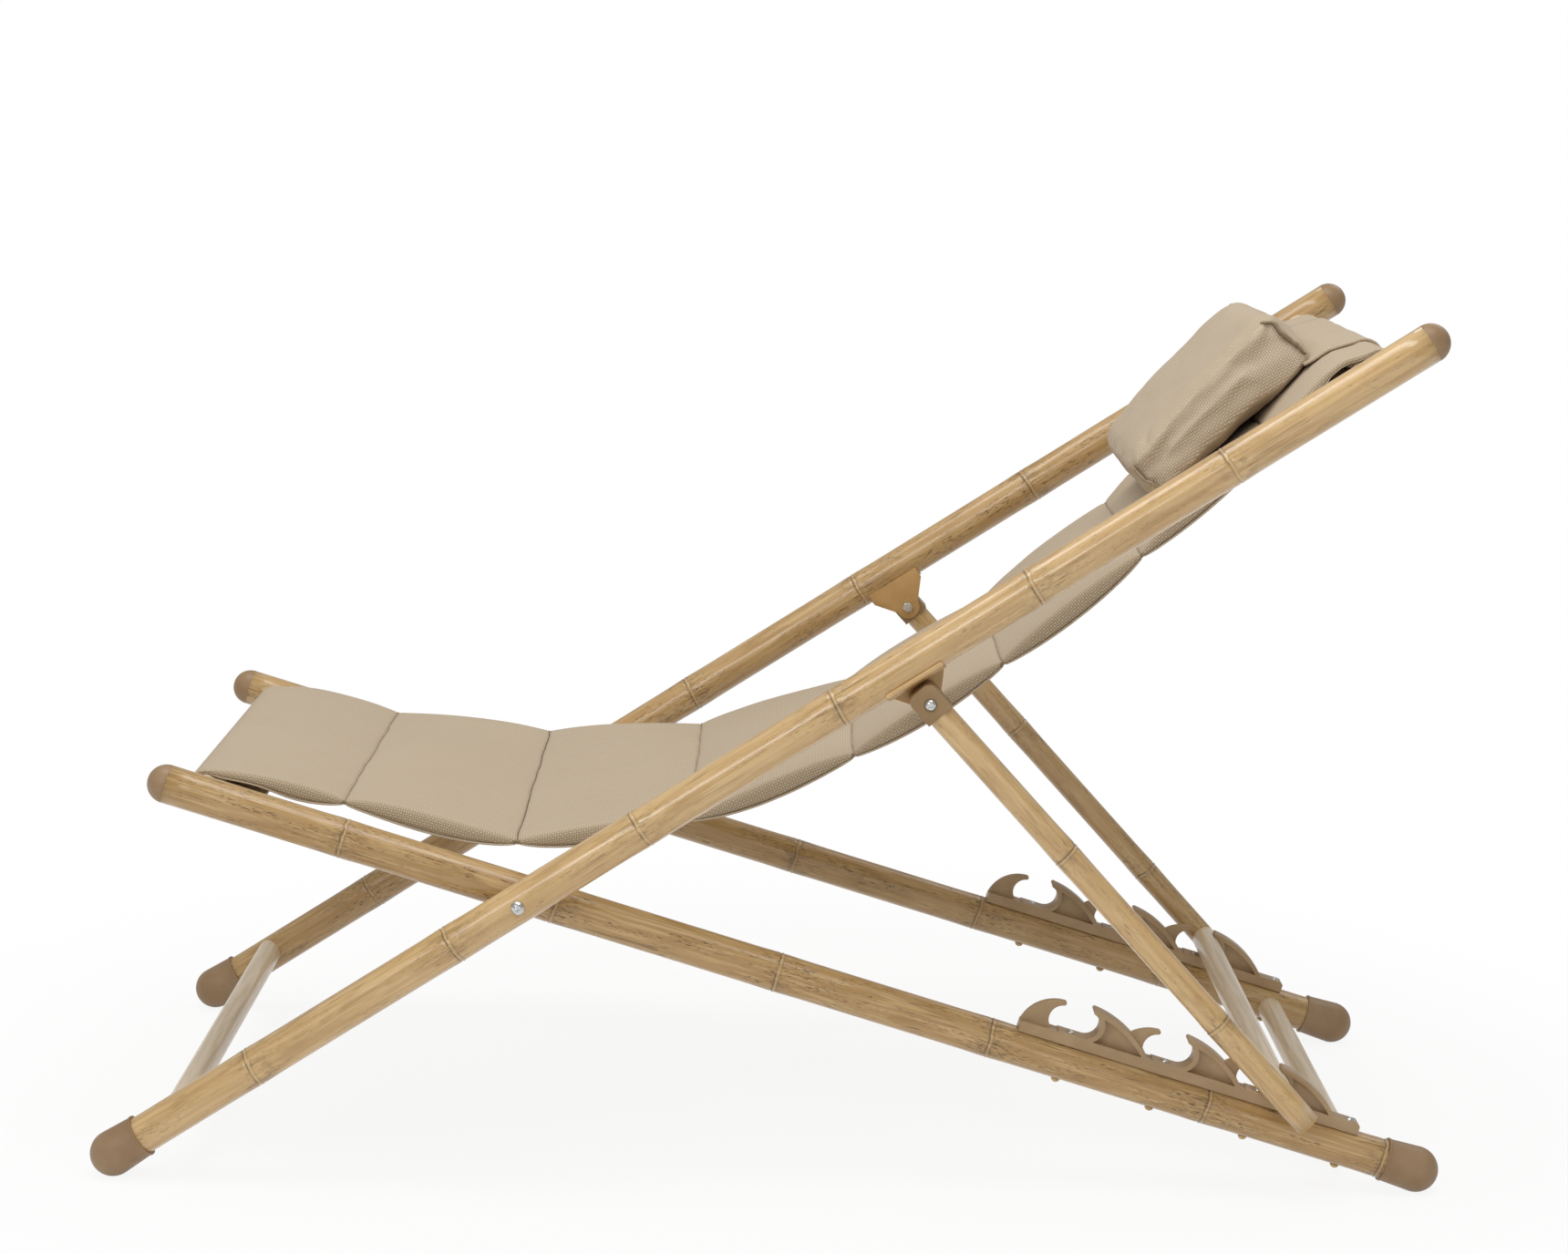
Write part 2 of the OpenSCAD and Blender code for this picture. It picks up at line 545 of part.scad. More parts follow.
// What lies on the sling bridges its seams and touches the crowns of its panels.
function on_sling(s) = soft_gap + max([for (d = [-9 : 3 : 9]) sling_top_at(s + d) - d * sling_rise]);
pillow_steps = 10;
pillow_draw = 5;
edge_lift = 16;
function pillow_top(u) = (pillow_front_t + (pillow_back_t - pillow_front_t) * u)
    * (0.5 + 0.5 * pow(sin(180 * (0.05 + 0.9 * u)), 0.25));
function pillow_ring(y) = let (
        share = abs(y) / pillow_half,
        draw = pillow_draw * pow(share, 4),
        from = pillow_from + draw, to = pillow_to - draw,
        low = [for (k = [0 : pillow_steps]) let (u = k / pillow_steps, s = from + (to - from) * u)
            [s, on_sling(s) + edge_lift * (1 - pow(sin(180 * (0.03 + 0.94 * u)), 0.3))]],
        high = [for (k = [pillow_steps : -1 : 0]) let (u = k / pillow_steps, s = from + (to - from) * u)
            [s, on_sling(s) + pillow_top(u) * (1 - 0.15 * pow(share, 4))]])
    [for (p = concat(low, high)) let (q = from_back(p)) [pivot_x + q.x, y, pivot_z + q.y]];
module head_pillow() color("#c2b098")
    skin([for (k = [-8 : 8]) pillow_ring(pillow_half * sin(90 * k / 8))]);
flap_rise = bar_r + 2 * soft_gap + seam_t + flap_t / 2;
flap_bend = [[2, flap_rise], [flap_reach * 0.4, flap_rise + 1.5], [flap_reach * 0.65, flap_rise / 2],
    [flap_reach, -flap_hang]];
function bend_point(t) = pow(1 - t, 3) * flap_bend[0] + 3 * t * pow(1 - t, 2) * flap_bend[1]
    + 3 * t * t * (1 - t) * flap_bend[2] + pow(t, 3) * flap_bend[3];
flap_line = concat([for (s = [pillow_to + 1 : 6 : top_rod_at - 14]) [s, on_sling(s) + flap_t / 2]],
    [for (k = [0 : 8]) [top_rod_at, -top_rod_drop] + bend_point(k / 8)]);
function flap_ring(i) = let (
        a = flap_line[max(0, i - 1)], b = flap_line[min(len(flap_line) - 1, i + 1)],
        d = (b - a) / norm(b - a), n = turned([-d.y, d.x], back_angle), p = from_back(flap_line[i]))
    [p.x, p.y, n.x, n.y, flap_t];
module pillow_flap() color("#c2b098")
    skin([for (i = [0 : len(flap_line) - 1]) ring_points(flap_ring(i), pillow_half)]);

back_rail(left);  // back_rail_left
back_rail(right);  // back_rail_right
back_foot(left);  // back_foot_left
back_foot(right);  // back_foot_right
back_cap(left);  // back_cap_left
back_cap(right);  // back_cap_right
front_cross_tube();
top_rod();
bracket(left);  // prop_bracket_left
bracket(right);  // prop_bracket_right
seat_rail(left);  // seat_rail_left
seat_rail(right);  // seat_rail_right
seat_foot(left);  // seat_foot_left
seat_foot(right);  // seat_foot_right
seat_cap(left);  // seat_cap_left
seat_cap(right);  // seat_cap_right
rear_cross_tube();
front_rod();
rack(left);  // rack_left
rack(right);  // rack_right
rack_screws();
rack_nuts();
pivot_bolts();
pivot_washers();
pivot_nuts();
prop_leg(left);  // prop_leg_left
prop_leg(right);  // prop_leg_right
prop_bar();
knuckle(left);  // prop_knuckle_left
knuckle(right);  // prop_knuckle_right
prop_end_plugs();
hinge_bolts();
hinge_nuts();
sling_seat();
sling_bend();
sling_back();
head_pillow();
pillow_flap();
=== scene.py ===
# Folding deck chair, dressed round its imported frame: bamboo painted tube, moulded plastic, zinc
# plated bolts, a quilted woven sling and a stuffed head pillow. It faces -X. Units are metres.
import bisect
import json
import math

import bmesh
import bpy
from mathutils import Matrix, Vector, noise
from mathutils.bvhtree import BVHTree

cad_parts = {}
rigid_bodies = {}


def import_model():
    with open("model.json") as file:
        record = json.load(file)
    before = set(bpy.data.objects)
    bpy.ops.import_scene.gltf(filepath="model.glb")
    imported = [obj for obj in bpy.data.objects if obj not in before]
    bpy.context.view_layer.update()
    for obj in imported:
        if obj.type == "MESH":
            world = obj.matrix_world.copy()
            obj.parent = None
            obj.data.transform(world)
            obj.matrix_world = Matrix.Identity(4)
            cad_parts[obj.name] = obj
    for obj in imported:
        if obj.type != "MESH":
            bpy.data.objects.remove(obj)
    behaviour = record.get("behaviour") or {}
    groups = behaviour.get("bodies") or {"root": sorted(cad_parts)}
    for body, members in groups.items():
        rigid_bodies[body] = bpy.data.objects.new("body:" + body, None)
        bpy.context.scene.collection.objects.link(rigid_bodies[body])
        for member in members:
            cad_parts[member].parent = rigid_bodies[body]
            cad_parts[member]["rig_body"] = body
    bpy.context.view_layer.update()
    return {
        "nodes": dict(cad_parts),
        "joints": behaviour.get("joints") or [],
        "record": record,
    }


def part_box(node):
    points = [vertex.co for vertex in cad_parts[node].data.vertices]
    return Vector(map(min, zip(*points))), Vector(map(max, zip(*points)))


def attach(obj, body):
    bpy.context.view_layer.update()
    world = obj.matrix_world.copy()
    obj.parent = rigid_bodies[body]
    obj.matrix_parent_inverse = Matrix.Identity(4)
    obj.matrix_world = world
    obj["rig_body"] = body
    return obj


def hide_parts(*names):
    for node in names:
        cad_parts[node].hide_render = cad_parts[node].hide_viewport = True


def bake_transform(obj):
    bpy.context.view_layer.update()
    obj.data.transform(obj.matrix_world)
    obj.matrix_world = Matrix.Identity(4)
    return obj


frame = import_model()
mm = 0.001

# The two planes of the rails, read from the frame: the pivot, the feet and the prop's hinge
joints = {joint["name"]: joint for joint in frame["joints"]}
mounts = {mount["name"]: mount for mount in frame["record"]["mounts"]}
pivot = Vector(joints["back_raise"]["pos_m"])
hinge = Vector(joints["prop_swing"]["pos_m"])
footCentre = 20.7 * mm  # height of the middle of a foot's round end
frontFoot = Vector(mounts["front_foot_left"]["pos_m"])
rearFoot = Vector(mounts["rear_foot_left"]["pos_m"])
backAngle = math.atan2(pivot.z - footCentre, pivot.x - frontFoot.x)
seatAngle = math.atan2(footCentre - pivot.z, rearFoot.x - pivot.x)
backY = abs(frontFoot.y)
seatY = abs(rearFoot.y)
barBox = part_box("prop_bar")
barCentre = (barBox[0] + barBox[1]) / 2
propAngle = math.atan2(barCentre.z - hinge.z, barCentre.x - hinge.x)
propLength = math.hypot(barCentre.z - hinge.z, barCentre.x - hinge.x)


def placing(origin, angle, y):
    # Turns local x along a tube and local z across it, and moves it to its side of the chair
    return Matrix.Translation((origin.x, y, origin.z)) @ Matrix.Rotation(-angle, 4, "Y")


def turned(at, across, angle):
    return (at * math.cos(angle) - across * math.sin(angle),
            at * math.sin(angle) + across * math.cos(angle))


def fromPivot(spot, y):
    # A point of the chair's side view, in mm from the pivot, at its place across the chair
    return Vector((pivot.x + spot.x * mm, y * mm, pivot.z + spot.y * mm))


def fromRail(at, across, y):
    # A place given along and across the long rail from the pivot, and across the chair, in mm
    return fromPivot(Vector(turned(at, across, backAngle)), y)


def toRail(v):
    return (*turned((v.x - pivot.x) / mm, (v.z - pivot.z) / mm, -backAngle), v.y / mm)


def within(value):
    return min(1.0, max(0.0, value))


def bell(distance, reach):
    # 1 at no distance, fading smoothly to 0 past its reach
    return math.exp(-(distance / reach) ** 2)


def curve(points, steps):
    # A Catmull-Rom line through points of any dimension
    points = [Vector(p) for p in points]
    points = [2 * points[0] - points[1]] + points + [2 * points[-1] - points[-2]]
    line = []
    for a, b, c, d in zip(points, points[1:], points[2:], points[3:]):
        for k in range(steps):
            t = k / steps
            line.append(0.5 * (2 * b + (c - a) * t + (2 * a - 5 * b + 4 * c - d) * t * t
                               + (3 * b - a - 3 * c + d) * t ** 3))
    return line + [points[-2]]


def lengthsAlong(points):
    places = [0.0]
    for a, b in zip(points, points[1:]):
        places.append(places[-1] + (b - a).length)
    return places


# What every material is built from


def linear(hexColour):
    # sRGB hex to the linear values that shaders take
    parts = [int(hexColour[i:i + 2], 16) / 255 for i in (1, 3, 5)]
    return [p / 12.92 if p <= 0.04045 else ((p + 0.055) / 1.055) ** 2.4 for p in parts] + [1.0]


def addNode(tree, kind, settings=None, links=None, out=0):
    # One node with its settings, its inputs set or linked by name or number, and one of its outputs
    made = tree.nodes.new("ShaderNode" + kind)
    for key, value in (settings or {}).items():
        setattr(made, key, value)
    for key, value in (links or {}).items():
        if isinstance(value, bpy.types.NodeSocket):
            tree.links.new(value, made.inputs[key])
        else:
            made.inputs[key].default_value = value
    return made.outputs[out] if made.outputs else made


def mask(tree, *parts):
    # The product of its parts: values, and ramps given as a value, two limits and the shares there
    product = None
    for part in parts:
        if isinstance(part, tuple):
            value, low, high, toLow, toHigh = part if len(part) == 5 else (*part, 0.0, 1.0)
            part = addNode(tree, "MapRange", {"interpolation_type": "SMOOTHSTEP"},
                           {"Value": value, "From Min": low, "From Max": high,
                            "To Min": toLow, "To Max": toHigh}, "Result")
        product = part if product is None else addNode(
            tree, "Math", {"operation": "MULTIPLY"}, {0: product, 1: part})
    return product


def paintOver(tree, base, layers):
    # Colours laid over each other, each one through the mask that its parts make
    base = linear(base) if isinstance(base, str) else base
    for colour, *parts in layers:
        colour = linear(colour) if isinstance(colour, str) else colour
        base = addNode(tree, "Mix", {"data_type": "RGBA"},
                       {0: mask(tree, *parts), 6: base, 7: colour}, 2)
    return base


def emptyMaterial(name):
    material = bpy.data.materials.new(name)
    material.use_nodes = True
    material.node_tree.nodes.clear()
    return material, material.node_tree


def finishSurface(tree, height, strength, depth, inputs):
    # Ends a material with its relief, its surface and its output
    relief = addNode(tree, "Bump", None,
                     {"Height": height, "Strength": strength, "Distance": depth})
    surface = addNode(tree, "BsdfPrincipled", None, {"Normal": relief, **inputs})
    addNode(tree, "OutputMaterial", None, {"Surface": surface})


# Camera and studio

studio = {
    "camera": Vector((-8.8, -3250.9, 1022.2)) * mm,
    "yaw": math.radians(0.2207),
    "pitch": math.radians(-9.4443),
    "roll": math.radians(1.3507),
    "focalPixels": 3661.6,
    "imageWidth": 1720,
    "sensor": 36.0,
    "floorSize": 12, "floorColour": "#F4F3F1",
    "shadowFrom": 0.55, "shadowTo": 1.2,  # the shadow fades to plain white between these distances
    "shadowWhite": 0.88,                  # how white the floor is already near the chair
    "worldLight": 0.42,
    "aim": Vector((0, 0, 0.35)),
    "lamps": {
        "top softbox": {"at": (-0.2, -0.35, 2.7), "size": (2.8, 0.9), "watts": 36},
        "camera side softbox": {"at": (-1.5, -2.9, 2.1), "size": (2.2, 0.6), "watts": 25},
        "rear softbox": {"at": (1.6, 1.7, 2.2), "size": (1.4, 0.8), "watts": 9},
        "low fill": {"at": (0.8, -2.6, 0.7), "size": (1.6, 0.8), "watts": 4},
    },
}


def makeCamera(p):
    yaw, pitch, roll = p["yaw"], p["pitch"], p["roll"]
    forward = Vector((math.sin(yaw) * math.cos(pitch), math.cos(yaw) * math.cos(pitch),
                      math.sin(pitch)))
    right = Vector((math.cos(yaw), -math.sin(yaw), 0))
    up = right.cross(forward)
    rolledRight = math.cos(roll) * right + math.sin(roll) * up
    rolledUp = -math.sin(roll) * right + math.cos(roll) * up
    data = bpy.data.cameras.new("camera")
    data.sensor_width = p["sensor"]
    data.lens = p["focalPixels"] / p["imageWidth"] * p["sensor"]
    data.clip_end = 100
    camera = bpy.data.objects.new("camera", data)
    facing = Matrix((rolledRight, rolledUp, -forward)).transposed().to_4x4()
    camera.matrix_world = Matrix.Translation(p["camera"]) @ facing
    bpy.context.scene.collection.objects.link(camera)
    bpy.context.scene.camera = camera


def showWhite(tree, surface, white, share, rays):
    # The surface, with plain white instead for the rays that look at the backdrop
    seen = 0.0
    for ray in rays:
        seen = addNode(tree, "Math", {"operation": "MAXIMUM"},
                       {0: addNode(tree, "LightPath", out=ray), 1: seen})
    factor = mask(tree, seen, share) if share else seen
    return addNode(tree, "MixShader", None, {0: factor, 1: surface, 2: white})


def makeFloor(p):
    # A pale floor that keeps a soft shadow near the chair and fades to plain white round it
    mesh = bpy.data.meshes.new("floor")
    bm = bmesh.new()
    bmesh.ops.create_grid(bm, x_segments=1, y_segments=1, size=p["floorSize"])
    bm.to_mesh(mesh)
    bm.free()
    floor = bpy.data.objects.new("floor", mesh)
    bpy.context.scene.collection.objects.link(floor)
    material, tree = emptyMaterial("pale studio floor")
    place = addNode(tree, "TexCoord", out="Object")
    away = addNode(tree, "VectorMath", {"operation": "LENGTH"}, {0: place}, "Value")
    matte = addNode(tree, "BsdfDiffuse", None, {"Color": linear(p["floorColour"])})
    white = addNode(tree, "Emission", None, {"Color": (1, 1, 1, 1), "Strength": 1.0})
    fade = (away, p["shadowFrom"], p["shadowTo"], p["shadowWhite"], 1.0)
    mix = showWhite(tree, matte, white, fade,
                    ("Is Camera Ray", "Is Glossy Ray", "Is Transmission Ray"))
    addNode(tree, "OutputMaterial", None, {"Surface": mix})
    mesh.materials.append(material)


def makeWorld(p):
    world = bpy.data.worlds.new("studio")
    bpy.context.scene.world = world
    world.use_nodes = True
    tree = world.node_tree
    tree.nodes.clear()
    soft, white = (addNode(tree, "Background", None, {"Color": (1, 1, 1, 1), "Strength": strength})
                   for strength in (p["worldLight"], 1.0))
    mix = showWhite(tree, soft, white, None, ("Is Camera Ray", "Is Transmission Ray"))
    addNode(tree, "OutputWorld", None, {"Surface": mix})


def makeLamps(p):
    for name, lamp in p["lamps"].items():
        data = bpy.data.lights.new(name, "AREA")
        data.shape = "RECTANGLE"
        data.size, data.size_y = lamp["size"]
        data.energy = lamp["watts"]
        thing = bpy.data.objects.new(name, data)
        thing.location = lamp["at"]
        thing.rotation_euler = (p["aim"] - thing.location).to_track_quat("-Z", "Y").to_euler()
        bpy.context.scene.collection.objects.link(thing)


makeCamera(studio)
makeFloor(studio)
makeWorld(studio)
makeLamps(studio)
bpy.context.scene.view_settings.view_transform = "Standard"
print("camera and studio ready")

# Materials

bambooPaint = {
    # shade is the colour of the painted shade on the darker canes; pale also paints their sheen
    "light": "#D8B884", "dark": "#C19D69", "warm": "#CAA36C", "ripe": "#A9854F",
    "shade": "#94703F", "mark": "#5E4728", "ring": "#5C4325", "pale": "#DDC08E",
    "noises": {
        # length along the tube and width across it in mm, detail, roughness and a shift of its own
        "streak": (100, 5, 3.0, 0.6, 0.0), "cloud": (160, 60, 2.0, 0.5, 3.1),
        "tint": (70, 16, 3.0, 0.6, 17.0), "paintedSheen": (55, 2.6, 2.0, 0.5, 88.0),
        "dash": (7, 0.8, 1.5, 0.55, 7.7),  # the printed dashes are about 0.5 mm wide
        "band": (60, 10, 2.5, 0.6, 12.3), "hair": (150, 2.2, 1.0, 0.4, 51.0),
        "hairPlace": (80, 14, 1.0, 0.5, 63.0), "smudge": (16, 7, 3.0, 0.65, 21.9),
        "broken": (40, 12, 1.0, 0.5, 33.0), "fine": (22, 1.1, 2.0, 0.6, 40.0),
    },
}


def makeBambooPaint(p):
    # Powder-coated aluminium tube with a printed bamboo grain under a glossy lacquer: a warm straw
    # colour, short dark dashes in bands, a few long hairlines, and thin rings at the joints. Some
    # canes are darkened as painted shade, and pale streaks on them are a painted sheen.
    material, tree = emptyMaterial("bamboo-grained lacquered tube")
    place = addNode(tree, "Attribute", {"attribute_name": "grain"}, out="Vector")
    ringLine, ringStain, ringPale, shadeAndRipeness = (
        addNode(tree, "Attribute", {"attribute_name": name}, out="Fac")
        for name in ("ringLine", "ringStain", "ringPale", "shadeAndRipeness"))
    noises = {}
    for name, (along, across, detail, roughness, shift) in p["noises"].items():
        scale = (1 / (along * mm), 1 / (across * mm), 1 / (across * mm))
        placed = addNode(tree, "Mapping", {"vector_type": "POINT"},
                         {"Vector": place, "Location": (shift, shift, shift), "Scale": scale})
        noises[name] = addNode(tree, "TexNoise", None, {"Vector": placed, "Scale": 1.0,
                                                        "Detail": detail, "Roughness": roughness})
    dash = addNode(tree, "Math", {"operation": "MULTIPLY_ADD"},
                   {0: shadeAndRipeness, 1: 0.018, 2: noises["dash"]})
    band = addNode(tree, "Math", {"operation": "MULTIPLY_ADD", "use_clamp": True},
                   {0: ringStain, 1: 0.8, 2: mask(tree, (noises["band"], 0.46, 0.62))})
    marks = mask(tree, (dash, 0.575, 0.65), band, (shadeAndRipeness, 0.0, 1.0, 0.6, 1.25))
    hair = addNode(tree, "Math", {"operation": "SUBTRACT"}, {0: noises["hair"], 1: 0.5})
    hair = addNode(tree, "Math", {"operation": "ABSOLUTE"}, {0: hair})
    base = paintOver(tree, p["light"], (
        (p["dark"], (noises["streak"], 0.35, 0.68)),
        (p["warm"], (noises["cloud"], 0.4, 0.7, 0.0, 0.5)),
        (p["ripe"], (noises["tint"], 0.5, 0.72, 0.0, 0.55)),
        # painted shade: the seat rails under the sling and the far canes darken towards the shade
        # colour
        (p["shade"], shadeAndRipeness, 0.52),
        # painted sheen: pale streaks along the tube, most on the darker canes, stand in for soft
        # highlights
        (p["pale"], (noises["paintedSheen"], 0.5, 0.66, 0.0, 0.4), shadeAndRipeness),
        (p["mark"], marks, 0.75),
        (p["mark"], (hair, 0.006, 0.03, 0.55, 0.0), (noises["hairPlace"], 0.57, 0.62)),
        (p["mark"], (noises["smudge"], 0.46, 0.74, 0.0, 0.5), ringStain),
        (p["pale"], ringPale, 0.35),
        (p["ring"], ringLine, (noises["broken"], 0.36, 0.56, 0.35, 0.9)),
    ))
    height = addNode(tree, "Math", {"operation": "SUBTRACT"}, {0: noises["fine"], 1: marks})
    finishSurface(tree, height, 0.04, 0.2 * mm, {
        "Base Color": base, "Roughness": mask(tree, (noises["fine"], 0.2, 0.8, 0.27, 0.31)),
        "IOR": 1.5, "Coat Weight": mask(tree, (shadeAndRipeness, 0.0, 1.0, 0.5, 0.12)),
        "Coat Roughness": 0.1})
    return material


def makePlainPaint():
    # The cross tubes: the same tube in a paler enamel with a soft gloss and faint drawn streaks
    material, tree = emptyMaterial("pale enamelled tube")
    streakWide, streakLong = 4 * mm, 90 * mm
    placed = addNode(tree, "Mapping", None,
                     {"Vector": addNode(tree, "TexCoord", out="Object"),
                      "Scale": (1 / streakWide, 1 / streakLong, 1 / streakWide)})
    streak = addNode(tree, "TexNoise", None, {"Vector": placed, "Scale": 1.0, "Detail": 3.0})
    finishSurface(tree, streak, 0.06, 0.2 * mm, {
        "Base Color": paintOver(tree, "#E9D7BC", [("#D4C09F", (streak, 0.3, 0.7))]),
        "Roughness": 0.36, "IOR": 1.5, "Coat Weight": 0.2, "Coat Roughness": 0.15})
    return material


def makeMoulded(name, light, dark, roughness, grit):
    # Moulded plastic or sprayed enamel: dull, with a fine grain of this grit, a soft sheen and
    # faint clouds about 36 mm wide
    material, tree = emptyMaterial(name)
    place = addNode(tree, "TexCoord", out="Object")
    cloud, fine = (addNode(tree, "TexNoise", None, {"Vector": place, "Scale": scale,
                                                    "Detail": detail, "Roughness": 0.6})
                   for scale, detail in ((28.0, 3.0), (1 / grit, 2.0)))
    base = paintOver(tree, light, (
        (dark, (cloud, 0.3, 0.7)),
        (light, (fine, 0.35, 0.7, 0.0, 0.22)),
    ))
    finishSurface(tree, fine, 0.1, 0.12 * mm, {
        "Base Color": base, "IOR": 1.49,
        "Roughness": mask(tree, (cloud, 0.2, 0.8, roughness - 0.04, roughness + 0.05))})
    return material


def makeZincSteel():
    # Bright zinc plated steel: a cool grey metal with faint marks of wear
    material, tree = emptyMaterial("zinc plated steel")
    wear = addNode(tree, "TexNoise", None,
                   {"Vector": addNode(tree, "TexCoord", out="Object"), "Scale": 420.0,
                    "Detail": 3.0, "Roughness": 0.6})
    finishSurface(tree, wear, 0.08, 0.1 * mm, {
        "Base Color": paintOver(tree, "#DEDFDD", [("#BDBEBB", (wear, 0.3, 0.7))]),
        "Metallic": 1.0, "Roughness": mask(tree, (wear, 0.2, 0.8, 0.2, 0.34))})
    return material


weave = {
    "thread": 2.3 * mm,  # the real basket weave is about 1.8 mm, a little too fine for the render
    # A gap, a thread and its crown. The side walls show the coarse side of the weave, darkened
    # further as painted shade, and the pillow's ends show an open stretched weave, lightened as
    # painted light.
    "fine": ("#A5947B", "#BAA88F", "#C5B49C"),
    "coarseShadedWall": ("#77674F", "#AA987F", "#C8B69B"),
    "stretchedLitEnd": ("#857460", "#CCBBA4", "#EADBC7"),
    "needle": "#6B5D48", "depth": 0.35 * mm,
    "slub": (30, 500, 1), "cloud": 9.0, "stitch": 250.0,  # patches in a metre
}


def makeWovenCloth(p):
    # Solution-dyed polyester in a basket weave: a dry matt beige whose threads show as a fine
    # checked grain, with darker gaps, a faint slub along the length and darker sewn seams. The side
    # walls are darkened as painted shade, and the pillow's ends lightened as painted light.
    material, tree = emptyMaterial("woven polyester sling cloth")
    place = addNode(tree, "UVMap", {"uv_map": "weave"})
    ridges = []
    for axis in ("X", "Y"):
        phase = mask(tree, addNode(tree, "SeparateXYZ", None, {0: place}, axis),
                     math.pi / p["thread"])
        wave = addNode(tree, "Math", {"operation": "SINE"}, {0: phase})
        ridges.append(addNode(tree, "Math", {"operation": "ABSOLUTE"}, {0: wave}))
    length, width = ridges
    over, under = (
        addNode(tree, "Math", {"operation": "MULTIPLY_ADD"},
                {0: first, 1: most, 2: mask(tree, second, least)})
        for first, most, second, least in ((width, 0.75, length, 0.25), (length, 0.6, width, 0.15)))
    checks = addNode(tree, "TexChecker", None,
                     {"Vector": place, "Scale": 1 / p["thread"], "Color1": (1, 1, 1, 1),
                      "Color2": (0, 0, 0, 1)}, "Fac")
    thread = addNode(tree, "Mix", {"data_type": "FLOAT"}, {0: checks, 2: under, 3: over})
    slubPlace = addNode(tree, "Mapping", None, {"Vector": place, "Scale": p["slub"]})
    slub, cloud, stitches = (
        addNode(tree, "TexNoise", None, {"Vector": where, "Scale": scale, "Detail": detail})
        for where, scale, detail in ((slubPlace, 1.0, 2.0), (place, p["cloud"], 3.0),
                                     (place, p["stitch"], 0.0)))
    coarseShadedWall, stretchedLitEnd, needle = (addNode(tree, "Attribute", {"attribute_name": name}, out="Fac")
                                 for name in ("coarseShadedWall", "stretchedLitEnd", "seamLine"))
    fineSide, coarseShadedSide, stretchedLitSide = (
        paintOver(tree, gap, ((middle, (thread, 0.1, 0.5)), (crown, (thread, 0.45, 0.9))))
        for gap, middle, crown in (p["fine"], p["coarseShadedWall"], p["stretchedLitEnd"]))
    base = paintOver(tree, fineSide, (
        # painted shade: the side walls take the darker coarse colours, partly weave and partly
        # shade
        (coarseShadedSide, coarseShadedWall),
        # painted light: the pillow's ends take the lighter colours, partly open weave, partly
        # lifted shade
        (stretchedLitSide, stretchedLitEnd),
        (p["fine"][0], (slub, 0.3, 0.7, 0.0, 0.16)),
        (p["fine"][2], (cloud, 0.35, 0.7, 0.0, 0.1)),
        (p["needle"], needle, (stitches, 0.4, 0.6, 0.35, 0.7)),
    ))
    height = addNode(tree, "Math", {"operation": "MULTIPLY_ADD"}, {0: slub, 1: 0.3, 2: thread})
    opened = addNode(tree, "Math", {"operation": "MAXIMUM"}, {0: coarseShadedWall, 1: stretchedLitEnd})
    finishSurface(tree, height, mask(tree, (opened, 0.0, 1.0, 0.22, 0.6)), p["depth"], {
        "Base Color": base, "Roughness": 0.86, "IOR": 1.45, "Sheen Weight": 0.08,
        "Sheen Roughness": 0.5, "Specular IOR Level": 0.25})
    return material


bamboo = makeBambooPaint(bambooPaint)
plainPaint = makePlainPaint()
bracketPaint = makeMoulded("ochre powder-coated steel bracket", "#BC965E", "#AD8650", 0.36,
                           1.2 * mm)
brownPlastic = makeMoulded("brown moulded polypropylene", "#9B7E58", "#8E714B", 0.42, 0.9 * mm)
rackPlastic = makeMoulded("brown moulded nylon rack", "#AE926E", "#A18561", 0.4, 0.9 * mm)
# painted highlight: the lip takes the plate's enamel as it looks when lit, paler than the plate
lipLitPaint = makeMoulded("pale ochre enamel on a pressed lip", "#DDB985", "#D0AA74", 0.32,
                       1.2 * mm)
footPlastic = makeMoulded("brown moulded rubber foot", "#9C8060", "#907352", 0.46, 0.9 * mm)
strawPlastic = makeMoulded("straw moulded plug", "#C7A873", "#B79760", 0.42, 0.9 * mm)
zincSteel = makeZincSteel()
washerNylon = makeMoulded("black nylon washer", "#2E2A26", "#26221E", 0.5, 0.8 * mm)
cloth = makeWovenCloth(weave)
print("materials ready")


def newPiece(name, bm, material, body, nodes):
    # Ends a piece: its mesh, its material, the body that it rides on and the nodes that it replaces
    for face in bm.faces:
        face.smooth = True
    mesh = bpy.data.meshes.new(name)
    bm.to_mesh(mesh)
    bm.free()
    piece = bpy.data.objects.new(name, mesh)
    bpy.context.scene.collection.objects.link(piece)
    mesh.materials.append(material)
    if body:
        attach(piece, body)
    if nodes:
        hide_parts(*nodes)
    return piece


# Tubes with the joints of the cane

cane = {
    "sides": 56,
    "plainStep": 24 * mm,     # rings between joints
    "jointClear": 32 * mm,    # how far they keep from a joint, which has rings of its own
    "swell": 0.45 * mm,       # how far the tube swells beside a joint
    "swellReach": 16 * mm,
    "groove": 0.5 * mm,       # the two pressed lines round a joint
    "secondGroove": 0.3 * mm,
    "grooveReach": 0.9 * mm,
    "pair": 3.8 * mm,         # from one line to the other
    "lip": 0.35 * mm,
    "lipReach": 1.3 * mm,
    "lineReach": 0.75 * mm,   # the painted lines, the second one fainter
    "secondLineReach": 0.7 * mm, "secondLine": 0.45,
    "paleReach": 1.2 * mm,
    "stainBefore": 12 * mm, "stainAfter": 26 * mm,
    "tilt": 0.07,             # a joint isn't quite square to the cane, nor quite flat
    "wobble": 0.9 * mm, "tiltReach": 14 * mm,
    "offsets": (-30, -20, -13, -8, -4, -2, -1, 0, 1, 1.9, 2.8, 3.8, 4.8, 6, 9, 14, 21, 30),
}
